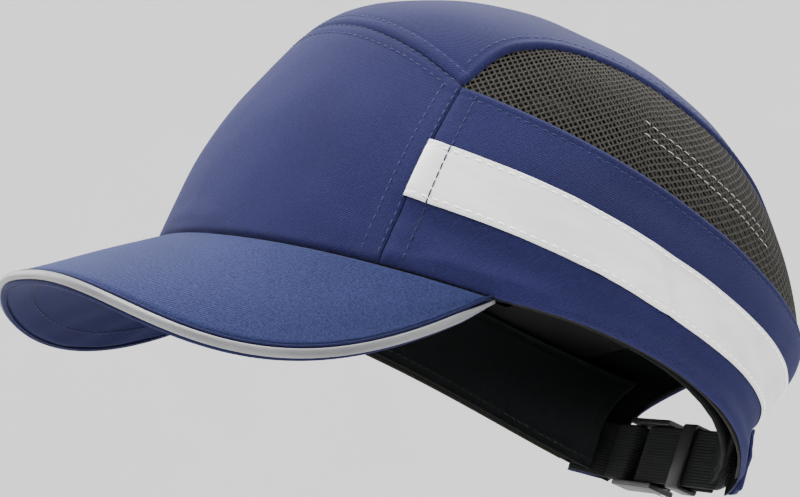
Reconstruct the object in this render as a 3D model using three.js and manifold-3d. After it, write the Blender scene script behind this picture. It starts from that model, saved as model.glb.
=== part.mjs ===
// Bump cap: cloth crown over a vented plastic shell, short cloth peak, mesh side panels, reflective side
// tapes, foam pads, sweatband and an adjustable rear strap with a cam-lever buckle.
// Millimetres, +Z up, peak towards -Y, wearer's left towards +X. The origin is the centre of the head
// opening, level with the bottom of the cloth at the back.

import * as THREE from "three";
import Module from "manifold-3d";

// Crown outline
const HALF_WIDTH = 96.9;
const FRONT_LENGTH = 97.2;
const BACK_LENGTH = 107.3;
const BACK_BULGE = 0.21;
const BULGE_START = 0.2;
const BULGE_END = 0.488;
const CROWN_HEIGHT = 130.5;
const CROWN_BASE_Z = -10;
const CROWN_LEAN = 5.3;
const FRONT_FULLNESS = 2.83;
const SIDE_FULLNESS = 2.43;
const BACK_FULLNESS = 2.2;
const CENTRE = new THREE.Vector3(0, 8, 25);

// Lower edge of the cloth: height at the side, then how it falls towards the front and the back
const RIM_SIDE_Z = 16.4;
const RIM_COEFFICIENTS = [-2.5, -16.55, 5.8];

// Seams between the cloth panels
const FRONT_SEAM_ANGLE = 47.2;
const MESH_LINE_Z = 67.8;
const MESH_LINE_SLOPE = 0.12;
const LINE_CURVE = 0.00025;
const STRIP_HALF_WIDTH = 58.8;
const STRIP_REAR_HALF_WIDTH = 40;
const STRIP_TAPER_START = 105;
const STRIP_TAPER_SPAN = 40;
const STRIP_FRONT_BLEND = 16;
const STRIP_FRONT_GAP = 0.25;
const STRIP_REAR_Z_ANGLE = 155;
const SEAM_GAP = 0.35;

// Layers, as depths under the crown surface (negative is inside)
const CLOTH = [0, -1];
const TAPE = [1.6, 0.9];
const TAB = [2.1, 1.2];
const SEAM_TAPE = [-1.5, -2];
const SHELL = [-2.6, -4.6];
const SWEATBAND = [-6.6, -8.1];
const PAD = [-5.5, -10.3];

// Reflective tape
const TAPE_TOP_Z = 48.3;
const TAPE_TOP_SLOPE = 0.085;
const TAPE_BOTTOM_Z = 30.6;
const TAPE_BOTTOM_SLOPE = 0.06;
const TAPE_START_ANGLE = 46.7;
const TAPE_END_ANGLE = 159.5;
const SEAM_TAPE_HALF_WIDTH = 6;
const SEAM_TAPE_END_INSET = 4;

// Peak
const PEAK_CORNER_ANGLE = 68;
const PEAK_SEAM_Z = 10.9;
const PEAK_SEAM_POWER = 3;
const PEAK_TIP_Y = -138;
const PEAK_TIP_Z = -18.9;
const PEAK_ARCH = 67.4;
const PEAK_ARCH_POWER = 2.4;
const PEAK_PLAN_POWER = 2.31;
const PEAK_TOP_LAYER = [0, -1];
const PEAK_BOARD_LAYER = [-1.3, -3.3];
const PEAK_UNDER_LAYER = [-3.6, -4.5];
const PEAK_MIDDLE_DEPTH = -2.2;
const PIPING_RADIUS = 1.7;
const PIPING_CLEARANCE = 2.4;
const PEAK_END = 0.965;
const PEAK_SEAM_CLEARANCE = 0.6;

// Inner shell
const SHELL_SIDE_Z = 26;
const SHELL_REAR_RISE = 34;
const SHELL_RISE_START = 125;
const SHELL_RISE_SPAN = 35;
const VENT_LENGTH = 30;
const VENT_WIDTH = 7;
const VENT_CUT = 16;
const VENTS = [
  [62, 58],
  [88, 56],
  [114, 55],
  [72, 78],
  [104, 76],
];

// Pads and sweatband
const CROWN_PAD_RADIUS = 34;
const CROWN_PAD_FACE_Z = 102;
const CROWN_PAD_CENTRE_Y = 10;
const FRONT_PAD = { angles: [-28, 28], low: 50, high: 80 };
const SIDE_PAD = { angles: [72, 108], low: 52, high: 80 };
const REAR_PAD = { angles: [158, 202], low: 66, high: 92 };
const SWEATBAND_END = 157;
const SWEATBAND_HEIGHT = 33;
const SWEATBAND_LIFT = 1;

// Rear opening, tabs and bindings
const ARCH_HALF_WIDTH = 33.5;
const ARCH_BOTTOM_Z = -0.7;
const ARCH_TOP_Z = 50;
const ARCH_POWER = 2.6;
const BINDING_RADIUS = 0.9;
const BINDING_INSET = 1.2;
const BINDING_DEPTH = -2.2;
const RIM_BINDING_ANGLES = [70, 147];
const ARCH_BINDING_START = 0.33;
const BAND_CORNER = 0.8;
const BAND_REAR_ANGLE = 150;
const TAB_OUTER_X = 48;
const TAB_HEIGHTS = [0.6, 20];

// Rear strap, buckle and keeper
const STRAP_WIDTH = 20;
const STRAP_THICKNESS = 1.2;
const STRAP_BOTTOM_Z = 0.3;
const STRAP_Y = 97;
const HIDDEN_END_ANGLES = [150.5, 153.5, 156.5, 159.5];
const LOOP_TURN = 100;
const LAP_GAP = 0.35;
const LAP_END_X = -32;
const LAP_FLAT_X = -29.5;
const LAP_RISE_X = -25.5;
const LAP_RISE_STEP = 0.9;
const STRAP_DEPTH = -3.4;
const LAYER_SPACING = 4.4;
const BAR_RADIUS = 1.3;
const CENTRE_BAR_X = -13;
const RIGHT_BAR_X = -22;
const TAIL_END_X = 24;
const CHEEK_THICKNESS = 2;
const CHEEK_GAP = 0.4;
const CHEEK_INNER = 1.6;
const CHEEK_OUTER = 6;
const CHEEK_END = 3;
const PIN_X = -5.5;
const PIN_RISE = 7.3;
const PIN_RADIUS = 1;
const PIN_CLEARANCE = 0.05;
const LEVER_RADIUS = 2;
const LEVER_THICKNESS = 1.8;
const LEVER_TOP_SHARE = 0.65;
const LEVER_TIP_DROP = 2.4;
const LEVER_TIP_RISE = 4;
const LEVER_TIP_X = -26.5;
const KEEPER_X = 10;
const KEEPER_WIDTH = 7;
const KEEPER_WALL = 1.2;
const KEEPER_CLEARANCE = 0.35;

const wasm = await Module();
wasm.setup();

const radians = THREE.MathUtils.degToRad;
const lerp = THREE.MathUtils.lerp;
const smooth = (value) => THREE.MathUtils.smoothstep(value, 0, 1);
const power = (value, exponent) => Math.sign(value) * Math.abs(value) ** exponent;

// How full the crown's vertical section is, for a direction whose forward cosine is c
function fullness(c) {
  const front = Math.max(0, c) ** 2;
  const back = Math.max(0, -c) ** 2;
  return FRONT_FULLNESS * front + BACK_FULLNESS * back + SIDE_FULLNESS * (1 - front - back);
}

// Half length of the crown's plan at a share t of its height; the back swells above the strap
function planLength(isFront, t) {
  if (isFront) return FRONT_LENGTH;
  return BACK_LENGTH * (1 + BACK_BULGE * smooth((t - BULGE_START) / (BULGE_END - BULGE_START)));
}

// 1 on the crown's outer surface, less than 1 inside it
function crownLevel(x, y, z) {
  const t = Math.max(0, (z - CROWN_BASE_Z) / CROWN_HEIGHT);
  const back = y - CROWN_LEAN * t * t;
  const along = back / planLength(back < 0, t);
  const reach = Math.max(1e-9, Math.hypot(x / HALF_WIDTH, along));
  const n = fullness(-along / reach);
  return reach ** n + t ** n;
}

function crownNormal(p) {
  const h = 0.02;
  const slope = (dx, dy, dz) =>
    crownLevel(p.x + dx, p.y + dy, p.z + dz) - crownLevel(p.x - dx, p.y - dy, p.z - dz);
  return new THREE.Vector3(slope(h, 0, 0), slope(0, h, 0), slope(0, 0, h)).normalize();
}

// The point where a ray leaves the crown, moved by depth along the surface normal
function castOnCrown(from, direction, depth) {
  let near = 0;
  let far = 250;
  const p = new THREE.Vector3();
  for (let step = 0; step < 40; step++) {
    const middle = (near + far) / 2;
    p.copy(from).addScaledVector(direction, middle);
    if (crownLevel(p.x, p.y, p.z) < 1) near = middle;
    else far = middle;
  }
  return p.addScaledVector(crownNormal(p), depth);
}

const fromCentre = (p, depth) => castOnCrown(CENTRE, p.clone().sub(CENTRE).normalize(), depth);

// A point of the wall at an angle from the front (positive to the wearer's left) and a height
function wall(angle, z, depth = 0) {
  const t = (z - CROWN_BASE_Z) / CROWN_HEIGHT;
  const c = Math.cos(radians(angle));
  const s = Math.sin(radians(angle));
  const n = fullness(c);
  const k = (1 - t ** n) ** (1 / n);
  const y = -planLength(c > 0, t) * c * k + CROWN_LEAN * t * t;
  const p = new THREE.Vector3(HALF_WIDTH * s * k, y, z);
  return depth ? p.addScaledVector(crownNormal(p), depth) : p;
}

// The angle at the back where the wall is x away from the middle
function backAngle(x, z) {
  const t = (z - CROWN_BASE_Z) / CROWN_HEIGHT;
  const k = (1 - t ** BACK_FULLNESS) ** (1 / BACK_FULLNESS);
  return 180 - THREE.MathUtils.radToDeg(Math.asin(x / (HALF_WIDTH * k)));
}

// A point of the roof at a fixed x, by its angle up from straight ahead
function roof(x, angle, depth) {
  const from = new THREE.Vector3(x, CENTRE.y, CENTRE.z);
  const direction = new THREE.Vector3(0, -Math.cos(radians(angle)), Math.sin(radians(angle)));
  return castOnCrown(from, direction, depth);
}

function rimZ(angle) {
  const c = Math.cos(radians(angle));
  return RIM_COEFFICIENTS.reduce((z, k, i) => z + k * c ** (i + 1), RIM_SIDE_Z);
}

function peakSeamZ(angle) {
  const corner = rimZ(PEAK_CORNER_ANGLE);
  const share = Math.abs(Math.sin(radians(angle)) / Math.sin(radians(PEAK_CORNER_ANGLE)));
  return corner + (PEAK_SEAM_Z - corner) * (1 - Math.min(1, share) ** PEAK_SEAM_POWER);
}

const clothBottomZ = (angle) =>
  Math.abs(angle) < PEAK_CORNER_ANGLE ? peakSeamZ(angle) : rimZ(angle);

// The line where the wall passes a gently curved surface that falls towards the back
function tiltedLine(angle, z0, slope) {
  let p = wall(angle, z0);
  for (let step = 0; step < 6; step++) p = wall(angle, z0 - slope * p.y - LINE_CURVE * p.y * p.y);
  return p;
}

const bandTop = (angle, rise = 0) => tiltedLine(angle, MESH_LINE_Z + rise, MESH_LINE_SLOPE);
const CORNER = bandTop(FRONT_SEAM_ANGLE);
const roofAngle = (p) => THREE.MathUtils.radToDeg(Math.atan2(p.z - CENTRE.z, CENTRE.y - p.y));
const STRIP_START = roofAngle(CORNER);
const STRIP_END_MIDDLE = roofAngle(bandTop(180));
const STRIP_REAR_Z = bandTop(STRIP_REAR_Z_ANGLE).z;
const STRIP_END_SIDE = roofAngle(bandTop(backAngle(STRIP_REAR_HALF_WIDTH, STRIP_REAR_Z)));

function stripHalfWidth(angle) {
  const front = CORNER.x - STRIP_HALF_WIDTH;
  const rear = STRIP_HALF_WIDTH - STRIP_REAR_HALF_WIDTH;
  const flare = front * (1 - smooth((angle - STRIP_START) / STRIP_FRONT_BLEND));
  return STRIP_HALF_WIDTH + flare - rear * smooth((angle - STRIP_TAPER_START) / STRIP_TAPER_SPAN);
}

function archEdge(share, outward = 0) {
  const a = (share * Math.PI) / 2;
  const x = ARCH_HALF_WIDTH * power(Math.cos(a), 2 / ARCH_POWER);
  const rise = (ARCH_TOP_Z - ARCH_BOTTOM_Z) * power(Math.sin(a), 2 / ARCH_POWER);
  const z = ARCH_BOTTOM_Z + rise + outward * Math.sin(a);
  return [Math.max(0, x) + outward * Math.cos(a), z];
}

// Closed surface from points and triangles, turned so that its faces look out
function solid(points, faces) {
  let volume = 0;
  for (let i = 0; i < faces.length; i += 3) {
    const [a, b, c] = [points[faces[i]], points[faces[i + 1]], points[faces[i + 2]]];
    volume += a.dot(b.clone().cross(c));
  }
  if (volume < 0) faces.reverse();
  const geometry = new THREE.BufferGeometry().setFromPoints(points).setIndex(faces);
  geometry.computeVertexNormals();
  return geometry;
}

// A thin closed slab: point(u, v, layer) gives its two faces for layer 0 and 1
function slab(columns, rows, point) {
  const points = [];
  const faces = [];
  const at = (layer, i, j) => (layer * (columns + 1) + i) * (rows + 1) + j;
  const quad = (a, b, c, d) => faces.push(a, b, c, a, c, d);
  for (const layer of [0, 1])
    for (let i = 0; i <= columns; i++)
      for (let j = 0; j <= rows; j++) points.push(point(i / columns, j / rows, layer));
  for (let i = 0; i < columns; i++) {
    for (let j = 0; j < rows; j++) {
      quad(at(0, i, j), at(0, i + 1, j), at(0, i + 1, j + 1), at(0, i, j + 1));
      quad(at(1, i, j), at(1, i, j + 1), at(1, i + 1, j + 1), at(1, i + 1, j));
    }
    quad(at(0, i, 0), at(1, i, 0), at(1, i + 1, 0), at(0, i + 1, 0));
    quad(at(0, i, rows), at(0, i + 1, rows), at(1, i + 1, rows), at(1, i, rows));
  }
  for (let j = 0; j < rows; j++) {
    quad(at(0, 0, j), at(0, 0, j + 1), at(1, 0, j + 1), at(1, 0, j));
    quad(at(0, columns, j), at(1, columns, j), at(1, columns, j + 1), at(0, columns, j + 1));
  }
  return solid(points, faces);
}

// Cloth between two edges drawn on the crown, low(u) and high(u)
function clothBetween(columns, rows, low, high, layers) {
  return slab(columns, rows, (u, v, layer) => fromCentre(low(u).lerp(high(u), v), layers[layer]));
}

// A patch of the wall between two angles, with its lower and upper heights given by angle
function wallPatch(columns, rows, angles, low, high, layers) {
  return slab(columns, rows, (u, v, layer) => {
    const angle = lerp(angles[0], angles[1], u);
    return wall(angle, lerp(low(angle), high(angle), v), layers[layer]);
  });
}

function mirrored(geometry) {
  const copy = geometry.index ? geometry.toNonIndexed() : geometry.clone();
  copy.scale(-1, 1, 1);
  copy.setIndex([...Array(copy.getAttribute("position").count).keys()].reverse());
  copy.computeVertexNormals();
  return copy;
}

function rod(points, radius, sides, steps) {
  const shape = new THREE.Shape().absarc(0, 0, radius, 0, 2 * Math.PI);
  const options = { steps, curveSegments: sides, bevelEnabled: false };
  options.extrudePath = new THREE.CatmullRomCurve3(points);
  return new THREE.ExtrudeGeometry(shape, options);
}

// Flat outline extruded upwards from height z
function upright(shape, z, height, curveSegments = 10) {
  const options = { depth: height, bevelEnabled: false, curveSegments };
  return new THREE.ExtrudeGeometry(shape, options).translate(0, 0, z);
}

function toManifold(geometry) {
  const flat = geometry.index ? geometry.toNonIndexed() : geometry;
  const positions = flat.getAttribute("position").array;
  const keys = new Map();
  const vertices = [];
  const triVerts = new Uint32Array(positions.length / 3);
  for (let i = 0; i < triVerts.length; i++) {
    const xyz = Array.from(positions.slice(3 * i, 3 * i + 3));
    const key = xyz.map((value) => value.toFixed(4)).join();
    if (!keys.has(key)) {
      keys.set(key, keys.size);
      vertices.push(...xyz);
    }
    triVerts[i] = keys.get(key);
  }
  const mesh = new wasm.Mesh({ numProp: 3, vertProperties: new Float32Array(vertices), triVerts });
  return new wasm.Manifold(mesh);
}

function fromManifold(made) {
  const mesh = made.getMesh();
  const geometry = new THREE.BufferGeometry();
  geometry.setAttribute("position", new THREE.BufferAttribute(mesh.vertProperties, 3));
  geometry.setIndex(new THREE.BufferAttribute(mesh.triVerts, 1));
  geometry.computeVertexNormals();
  return geometry;
}

const join = (pieces) => fromManifold(pieces.map(toManifold).reduce((a, b) => a.add(b)));

function cut(base, cutters) {
  return fromManifold(cutters.map(toManifold).reduce((a, b) => a.subtract(b), toManifold(base)));
}

function frontPanel() {
  const limit = FRONT_SEAM_ANGLE - 0.2;
  const angleAt = (u) => lerp(-limit, limit, u);
  const low = (u) => wall(angleAt(u), peakSeamZ(angleAt(u)) + SEAM_GAP);
  const high = (u) => {
    const share = Math.sin(radians(angleAt(u))) / Math.sin(radians(FRONT_SEAM_ANGLE));
    return roof(CORNER.x * share, STRIP_START - STRIP_FRONT_GAP, 0);
  };
  return clothBetween(16, 10, low, high, CLOTH);
}

function topPanel() {
  return slab(10, 16, (u, v, layer) => {
    const side = 2 * u - 1;
    const end = lerp(STRIP_END_MIDDLE, STRIP_END_SIDE, side * side);
    const angle = lerp(STRIP_START + STRIP_FRONT_GAP, end - STRIP_FRONT_GAP, v);
    return roof(side * (stripHalfWidth(angle) - SEAM_GAP), angle, CLOTH[layer]);
  });
}

function sideBand() {
  const start = FRONT_SEAM_ANGLE + 0.2;
  const tab = backAngle(ARCH_HALF_WIDTH, ARCH_BOTTOM_Z);
  const low = (u) => {
    if (u > BAND_CORNER) {
      const [x, z] = archEdge((u - BAND_CORNER) / (1 - BAND_CORNER));
      return wall(backAngle(x, z) - (x < SEAM_GAP ? 0.2 : 0), z);
    }
    const angle = lerp(start, tab, u / BAND_CORNER);
    const gap = angle < PEAK_CORNER_ANGLE ? SEAM_GAP : 0;
    return wall(angle, clothBottomZ(angle) + gap);
  };
  const high = (u) => {
    const before = lerp(start, BAND_REAR_ANGLE, u / BAND_CORNER);
    const after = lerp(BAND_REAR_ANGLE, 179.8, (u - BAND_CORNER) / (1 - BAND_CORNER));
    return bandTop(u > BAND_CORNER ? after : before, -SEAM_GAP);
  };
  return clothBetween(34, 12, low, high, CLOTH);
}

function meshPanel() {
  const end = backAngle(STRIP_REAR_HALF_WIDTH + 2, STRIP_REAR_Z);
  const low = (u) => bandTop(lerp(FRONT_SEAM_ANGLE + 1, end, u), SEAM_GAP);
  const high = (u) => {
    const angle = lerp(STRIP_START + 1.5, STRIP_END_SIDE - 1, u);
    return roof(stripHalfWidth(angle) + SEAM_GAP, angle, 0);
  };
  return clothBetween(22, 6, low, high, CLOTH);
}

function reflectiveTape() {
  return slab(34, 5, (u, v, layer) => {
    const z = lerp(TAPE_BOTTOM_Z, TAPE_TOP_Z, v);
    const slope = lerp(TAPE_BOTTOM_SLOPE, TAPE_TOP_SLOPE, v);
    const p = tiltedLine(lerp(TAPE_START_ANGLE, TAPE_END_ANGLE, u), z, slope);
    return p.addScaledVector(crownNormal(p), TAPE[layer]);
  });
}

function seamTape() {
  const spread = THREE.MathUtils.radToDeg(SEAM_TAPE_HALF_WIDTH / HALF_WIDTH);
  const angles = [FRONT_SEAM_ANGLE - spread, FRONT_SEAM_ANGLE + spread];
  const low = () => PEAK_SEAM_Z + SEAM_TAPE_END_INSET;
  const high = () => CORNER.z - SEAM_TAPE_END_INSET;
  return wallPatch(3, 9, angles, low, high, SEAM_TAPE);
}

const PEAK_CORNER = wall(PEAK_CORNER_ANGLE, rimZ(PEAK_CORNER_ANGLE));

function peakEdge(share) {
  const a = (share * Math.PI) / 2;
  const x = PEAK_CORNER.x * power(Math.sin(a), 2 / PEAK_PLAN_POWER);
  const reach = Math.abs(Math.cos(a)) ** (2 / PEAK_PLAN_POWER);
  const y = lerp(PEAK_CORNER.y, PEAK_TIP_Y, reach);
  const arch = PEAK_ARCH * (1 - Math.abs(x / PEAK_CORNER.x) ** PEAK_ARCH_POWER);
  return new THREE.Vector3(x, y, lerp(PEAK_CORNER.z, PEAK_TIP_Z - PEAK_ARCH, reach) + arch);
}

// The end of the peak's straight line that starts at its seam with the crown
function peakRoot(share) {
  const x = peakEdge(share).x / PEAK_CORNER.x;
  const level = THREE.MathUtils.radToDeg(Math.asin(x * Math.sin(radians(PEAK_CORNER_ANGLE))));
  const angle = lerp(level, PEAK_CORNER_ANGLE * share, Math.min(1, share ** 4));
  return wall(angle, peakSeamZ(angle));
}

function peakPoint(share, v, depth) {
  const root = peakRoot(share);
  const edge = peakEdge(share);
  const ahead = peakRoot(share + 0.005).lerp(peakEdge(share + 0.005), v);
  const behind = peakRoot(share - 0.005).lerp(peakEdge(share - 0.005), v);
  const normal = ahead.sub(behind).cross(edge.clone().sub(root)).normalize();
  if (normal.z < 0) normal.negate();
  return root.lerp(edge, v).addScaledVector(normal, depth);
}

// How far back from the edge the covers stop, as a share of the straight line they lie on
function peakMargin(share, clearance) {
  const line = peakEdge(share).sub(peakRoot(share));
  const edge = peakEdge(share + 0.005).sub(peakEdge(share - 0.005));
  const slant = line.clone().normalize().cross(edge.normalize()).length();
  return clearance / (slant * line.length());
}

function peakLayer(columns, rows, layers) {
  return slab(columns, rows, (u, v, layer) => {
    const share = lerp(-PEAK_END, PEAK_END, u);
    const line = peakRoot(share).distanceTo(peakEdge(share));
    const across = lerp(PEAK_SEAM_CLEARANCE / line, 1 - peakMargin(share, PIPING_CLEARANCE), v);
    return peakPoint(share, across, layers[layer]);
  });
}

function peakPiping() {
  const points = [];
  for (let i = 0; i <= 36; i++)
    points.push(peakPoint(lerp(-PEAK_END, PEAK_END, i / 36), 1, PEAK_MIDDLE_DEPTH));
  return rod(points, PIPING_RADIUS, 4, 48);
}

function shellBottomZ(angle) {
  return SHELL_SIDE_Z + SHELL_REAR_RISE * smooth((Math.abs(angle) - SHELL_RISE_START) / SHELL_RISE_SPAN);
}

// The dome of the shell, as rings that close on one point at the top of each face
function shellDome() {
  const columns = 36;
  const rows = 10;
  const points = [];
  const faces = [];
  const top = wall(0, CROWN_BASE_Z + CROWN_HEIGHT);
  const up = top.clone().sub(CENTRE).normalize();
  for (const depth of SHELL) {
    for (let j = 0; j < rows; j++)
      for (let i = 0; i < columns; i++) {
        const angle = (360 * i) / columns - 180;
        const low = wall(angle, shellBottomZ(angle)).sub(CENTRE).normalize();
        const turn = low.angleTo(up);
        const share = j / rows;
        low.multiplyScalar(Math.sin((1 - share) * turn)).addScaledVector(up, Math.sin(share * turn));
        points.push(castOnCrown(CENTRE, low.normalize(), depth));
      }
    points.push(new THREE.Vector3(top.x, top.y, top.z + depth));
  }
  const size = rows * columns + 1;
  const at = (layer, j, i) => layer * size + j * columns + (i % columns);
  const quad = (a, b, c, d) => faces.push(a, b, c, a, c, d);
  for (let i = 0; i < columns; i++) {
    for (let j = 0; j < rows - 1; j++) {
      quad(at(0, j, i), at(0, j, i + 1), at(0, j + 1, i + 1), at(0, j + 1, i));
      quad(at(1, j, i), at(1, j + 1, i), at(1, j + 1, i + 1), at(1, j, i + 1));
    }
    faces.push(at(0, rows - 1, i), at(0, rows - 1, i + 1), size - 1);
    faces.push(at(1, rows - 1, i + 1), at(1, rows - 1, i), 2 * size - 1);
    quad(at(0, 0, i), at(1, 0, i), at(1, 0, i + 1), at(0, 0, i + 1));
  }
  return solid(points, faces);
}

// A round-ended slot cutter that stands on the wall at an angle and height, long way round the head
function ventCutter(angle, z) {
  const straight = (VENT_LENGTH - VENT_WIDTH) / 2;
  const radius = VENT_WIDTH / 2;
  const shape = new THREE.Shape();
  shape.absarc(straight, 0, radius, -Math.PI / 2, Math.PI / 2);
  shape.absarc(-straight, 0, radius, Math.PI / 2, (3 * Math.PI) / 2);
  const cutter = upright(shape, -VENT_CUT / 2, VENT_CUT, 3);
  const place = wall(angle, z);
  const normal = crownNormal(place);
  const along = new THREE.Vector3(0, 0, 1).cross(normal).normalize();
  const basis = new THREE.Matrix4().makeBasis(along, normal.clone().cross(along), normal);
  return cutter.applyMatrix4(basis.setPosition(place));
}

function innerShell() {
  const cutters = VENTS.flatMap(([angle, z]) => [ventCutter(angle, z), ventCutter(-angle, z)]);
  return cut(shellDome(), cutters);
}

// A round pad that follows the shell above and is flat underneath
function crownPad() {
  return slab(10, 10, (u, v, layer) => {
    const [a, b] = [2 * u - 1, 2 * v - 1];
    const x = CROWN_PAD_RADIUS * a * Math.sqrt(1 - (b * b) / 2);
    const y = CROWN_PAD_CENTRE_Y + CROWN_PAD_RADIUS * b * Math.sqrt(1 - (a * a) / 2);
    if (layer) return new THREE.Vector3(x, y, CROWN_PAD_FACE_Z);
    const top = castOnCrown(new THREE.Vector3(x, y, CENTRE.z), new THREE.Vector3(0, 0, 1), 0);
    return new THREE.Vector3(x, y, top.z + PAD[0] / crownNormal(top).z);
  });
}

function pad({ angles, low, high }) {
  return wallPatch(6, 4, angles, () => low, () => high, PAD);
}

function sweatband() {
  const low = (angle) => clothBottomZ(angle) + SWEATBAND_LIFT;
  const high = (angle) => clothBottomZ(angle) + SWEATBAND_HEIGHT;
  return wallPatch(46, 6, [-SWEATBAND_END, SWEATBAND_END], low, high, SWEATBAND);
}

function rimBinding() {
  const points = [];
  for (let i = 0; i <= 14; i++) {
    const angle = lerp(...RIM_BINDING_ANGLES, i / 14);
    points.push(wall(angle, rimZ(angle) + BINDING_INSET, BINDING_DEPTH));
  }
  return rod(points, BINDING_RADIUS, 3, 20);
}

function archBinding() {
  const points = [];
  for (let i = 0; i <= 24; i++) {
    const along = lerp(-1, 1, i / 24);
    const [x, z] = archEdge(lerp(1, ARCH_BINDING_START, Math.abs(along)), BINDING_INSET);
    const p = wall(backAngle(x, z), z, BINDING_DEPTH);
    p.x *= Math.sign(along);
    points.push(p);
  }
  return rod(points, BINDING_RADIUS, 3, 30);
}

function rearTab() {
  const [low, high] = TAB_HEIGHTS;
  const middle = (low + high) / 2;
  const angles = [backAngle(TAB_OUTER_X, middle), backAngle(ARCH_HALF_WIDTH + 1, middle)];
  return wallPatch(4, 5, angles, () => low, () => high, TAB);
}

// Outline of a thin ribbon that follows a path, with the path down its middle
function ribbon(path) {
  const half = STRAP_THICKNESS / 2;
  const sides = [[], []];
  path.forEach((p, i) => {
    const before = path[Math.max(0, i - 1)];
    const after = path[Math.min(path.length - 1, i + 1)];
    const along = after.clone().sub(before).normalize();
    const across = new THREE.Vector2(-along.y, along.x).multiplyScalar(half);
    sides[0].push(p.clone().add(across));
    sides[1].push(p.clone().sub(across));
  });
  const shape = new THREE.Shape([...sides[0], ...sides[1].reverse()]);
  return upright(shape, STRAP_BOTTOM_Z, STRAP_WIDTH);
}

// The strap's end that lies inside the cloth, from its tip towards the rear opening
function hiddenEnd(side) {
  return HIDDEN_END_ANGLES.map((angle) => {
    const p = wall(angle, STRAP_BOTTOM_Z + STRAP_WIDTH / 2, STRAP_DEPTH);
    return new THREE.Vector2(side * p.x, p.y);
  });
}

function aroundBar(x, from, to, steps) {
  const radius = LAYER_SPACING / 2;
  const points = [];
  for (let i = 0; i <= steps; i++) {
    const a = radians(lerp(from, to, i / steps));
    points.push(new THREE.Vector2(x + radius * Math.cos(a), STRAP_Y + radius + radius * Math.sin(a)));
  }
  return points;
}

function rearStrap() {
  const outer = STRAP_Y + LAYER_SPACING;
  const wrap = aroundBar(CENTRE_BAR_X, -90, -270, 10);
  return ribbon([...hiddenEnd(1), ...wrap, new THREE.Vector2(TAIL_END_X, outer)]);
}

function strapLoop() {
  const overlap = STRAP_THICKNESS + LAP_GAP;
  const lap = [
    new THREE.Vector2(LAP_END_X, STRAP_Y + overlap),
    new THREE.Vector2(LAP_FLAT_X, STRAP_Y + overlap),
    new THREE.Vector2(LAP_RISE_X, STRAP_Y + LAYER_SPACING - LAP_RISE_STEP),
  ];
  const wrap = aroundBar(RIGHT_BAR_X, LOOP_TURN, -90, 10);
  return ribbon([...lap, ...wrap, ...hiddenEnd(-1).reverse()]);
}

function buckleCheek(z) {
  const low = STRAP_Y - CHEEK_INNER;
  const high = STRAP_Y + CHEEK_OUTER;
  const pinY = STRAP_Y + PIN_RISE;
  const shape = new THREE.Shape();
  shape.moveTo(RIGHT_BAR_X - CHEEK_END, low);
  shape.lineTo(PIN_X + CHEEK_END, low);
  shape.lineTo(PIN_X + CHEEK_END, pinY);
  shape.absarc(PIN_X, pinY, CHEEK_END, 0, Math.PI, false);
  shape.lineTo(PIN_X - CHEEK_END, high);
  shape.lineTo(RIGHT_BAR_X - CHEEK_END + 1, high);
  shape.lineTo(RIGHT_BAR_X - CHEEK_END, high - 1);
  const hole = new THREE.Path().absarc(PIN_X, pinY, PIN_RADIUS + PIN_CLEARANCE, 0, 2 * Math.PI, true);
  shape.holes.push(hole);
  return upright(shape, z, CHEEK_THICKNESS, 8);
}

function buckleBar(x) {
  const shape = new THREE.Shape().absarc(x, STRAP_Y + LAYER_SPACING / 2, BAR_RADIUS, 0, 2 * Math.PI);
  const low = STRAP_BOTTOM_Z - CHEEK_GAP - CHEEK_THICKNESS / 2;
  return upright(shape, low, STRAP_WIDTH + 2 * CHEEK_GAP + CHEEK_THICKNESS, 6);
}

function buckleFrame() {
  const lower = buckleCheek(STRAP_BOTTOM_Z - CHEEK_GAP - CHEEK_THICKNESS);
  const upper = buckleCheek(STRAP_BOTTOM_Z + STRAP_WIDTH + CHEEK_GAP);
  return join([lower, upper, buckleBar(CENTRE_BAR_X), buckleBar(RIGHT_BAR_X)]);
}

// A flap with a barrel at one end and a thumb tip that lifts at the other
function buckleLever() {
  const pinY = STRAP_Y + PIN_RISE;
  const top = pinY + LEVER_RADIUS * LEVER_TOP_SHARE;
  const bottom = top - LEVER_THICKNESS;
  const start = Math.asin(LEVER_TOP_SHARE);
  const end = Math.PI + Math.asin((pinY - bottom) / LEVER_RADIUS);
  const shape = new THREE.Shape();
  shape.absarc(PIN_X, pinY, LEVER_RADIUS, Math.PI - start, end, true);
  shape.lineTo(LEVER_TIP_X + 6, bottom);
  shape.quadraticCurveTo(LEVER_TIP_X + 2, bottom, LEVER_TIP_X, bottom + LEVER_TIP_DROP);
  shape.lineTo(LEVER_TIP_X + 0.6, bottom + LEVER_TIP_RISE);
  shape.quadraticCurveTo(LEVER_TIP_X + 3, top, LEVER_TIP_X + 7, top);
  const hole = new THREE.Path().absarc(PIN_X, pinY, PIN_RADIUS + 2 * PIN_CLEARANCE, 0, 2 * Math.PI);
  shape.holes.push(hole);
  return upright(shape, STRAP_BOTTOM_Z, STRAP_WIDTH, 8);
}

function leverPin() {
  const shape = new THREE.Shape().absarc(PIN_X, STRAP_Y + PIN_RISE, PIN_RADIUS, 0, 2 * Math.PI);
  const low = STRAP_BOTTOM_Z - CHEEK_GAP - CHEEK_THICKNESS;
  return upright(shape, low, STRAP_WIDTH + 2 * (CHEEK_GAP + CHEEK_THICKNESS), 8);
}

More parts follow.
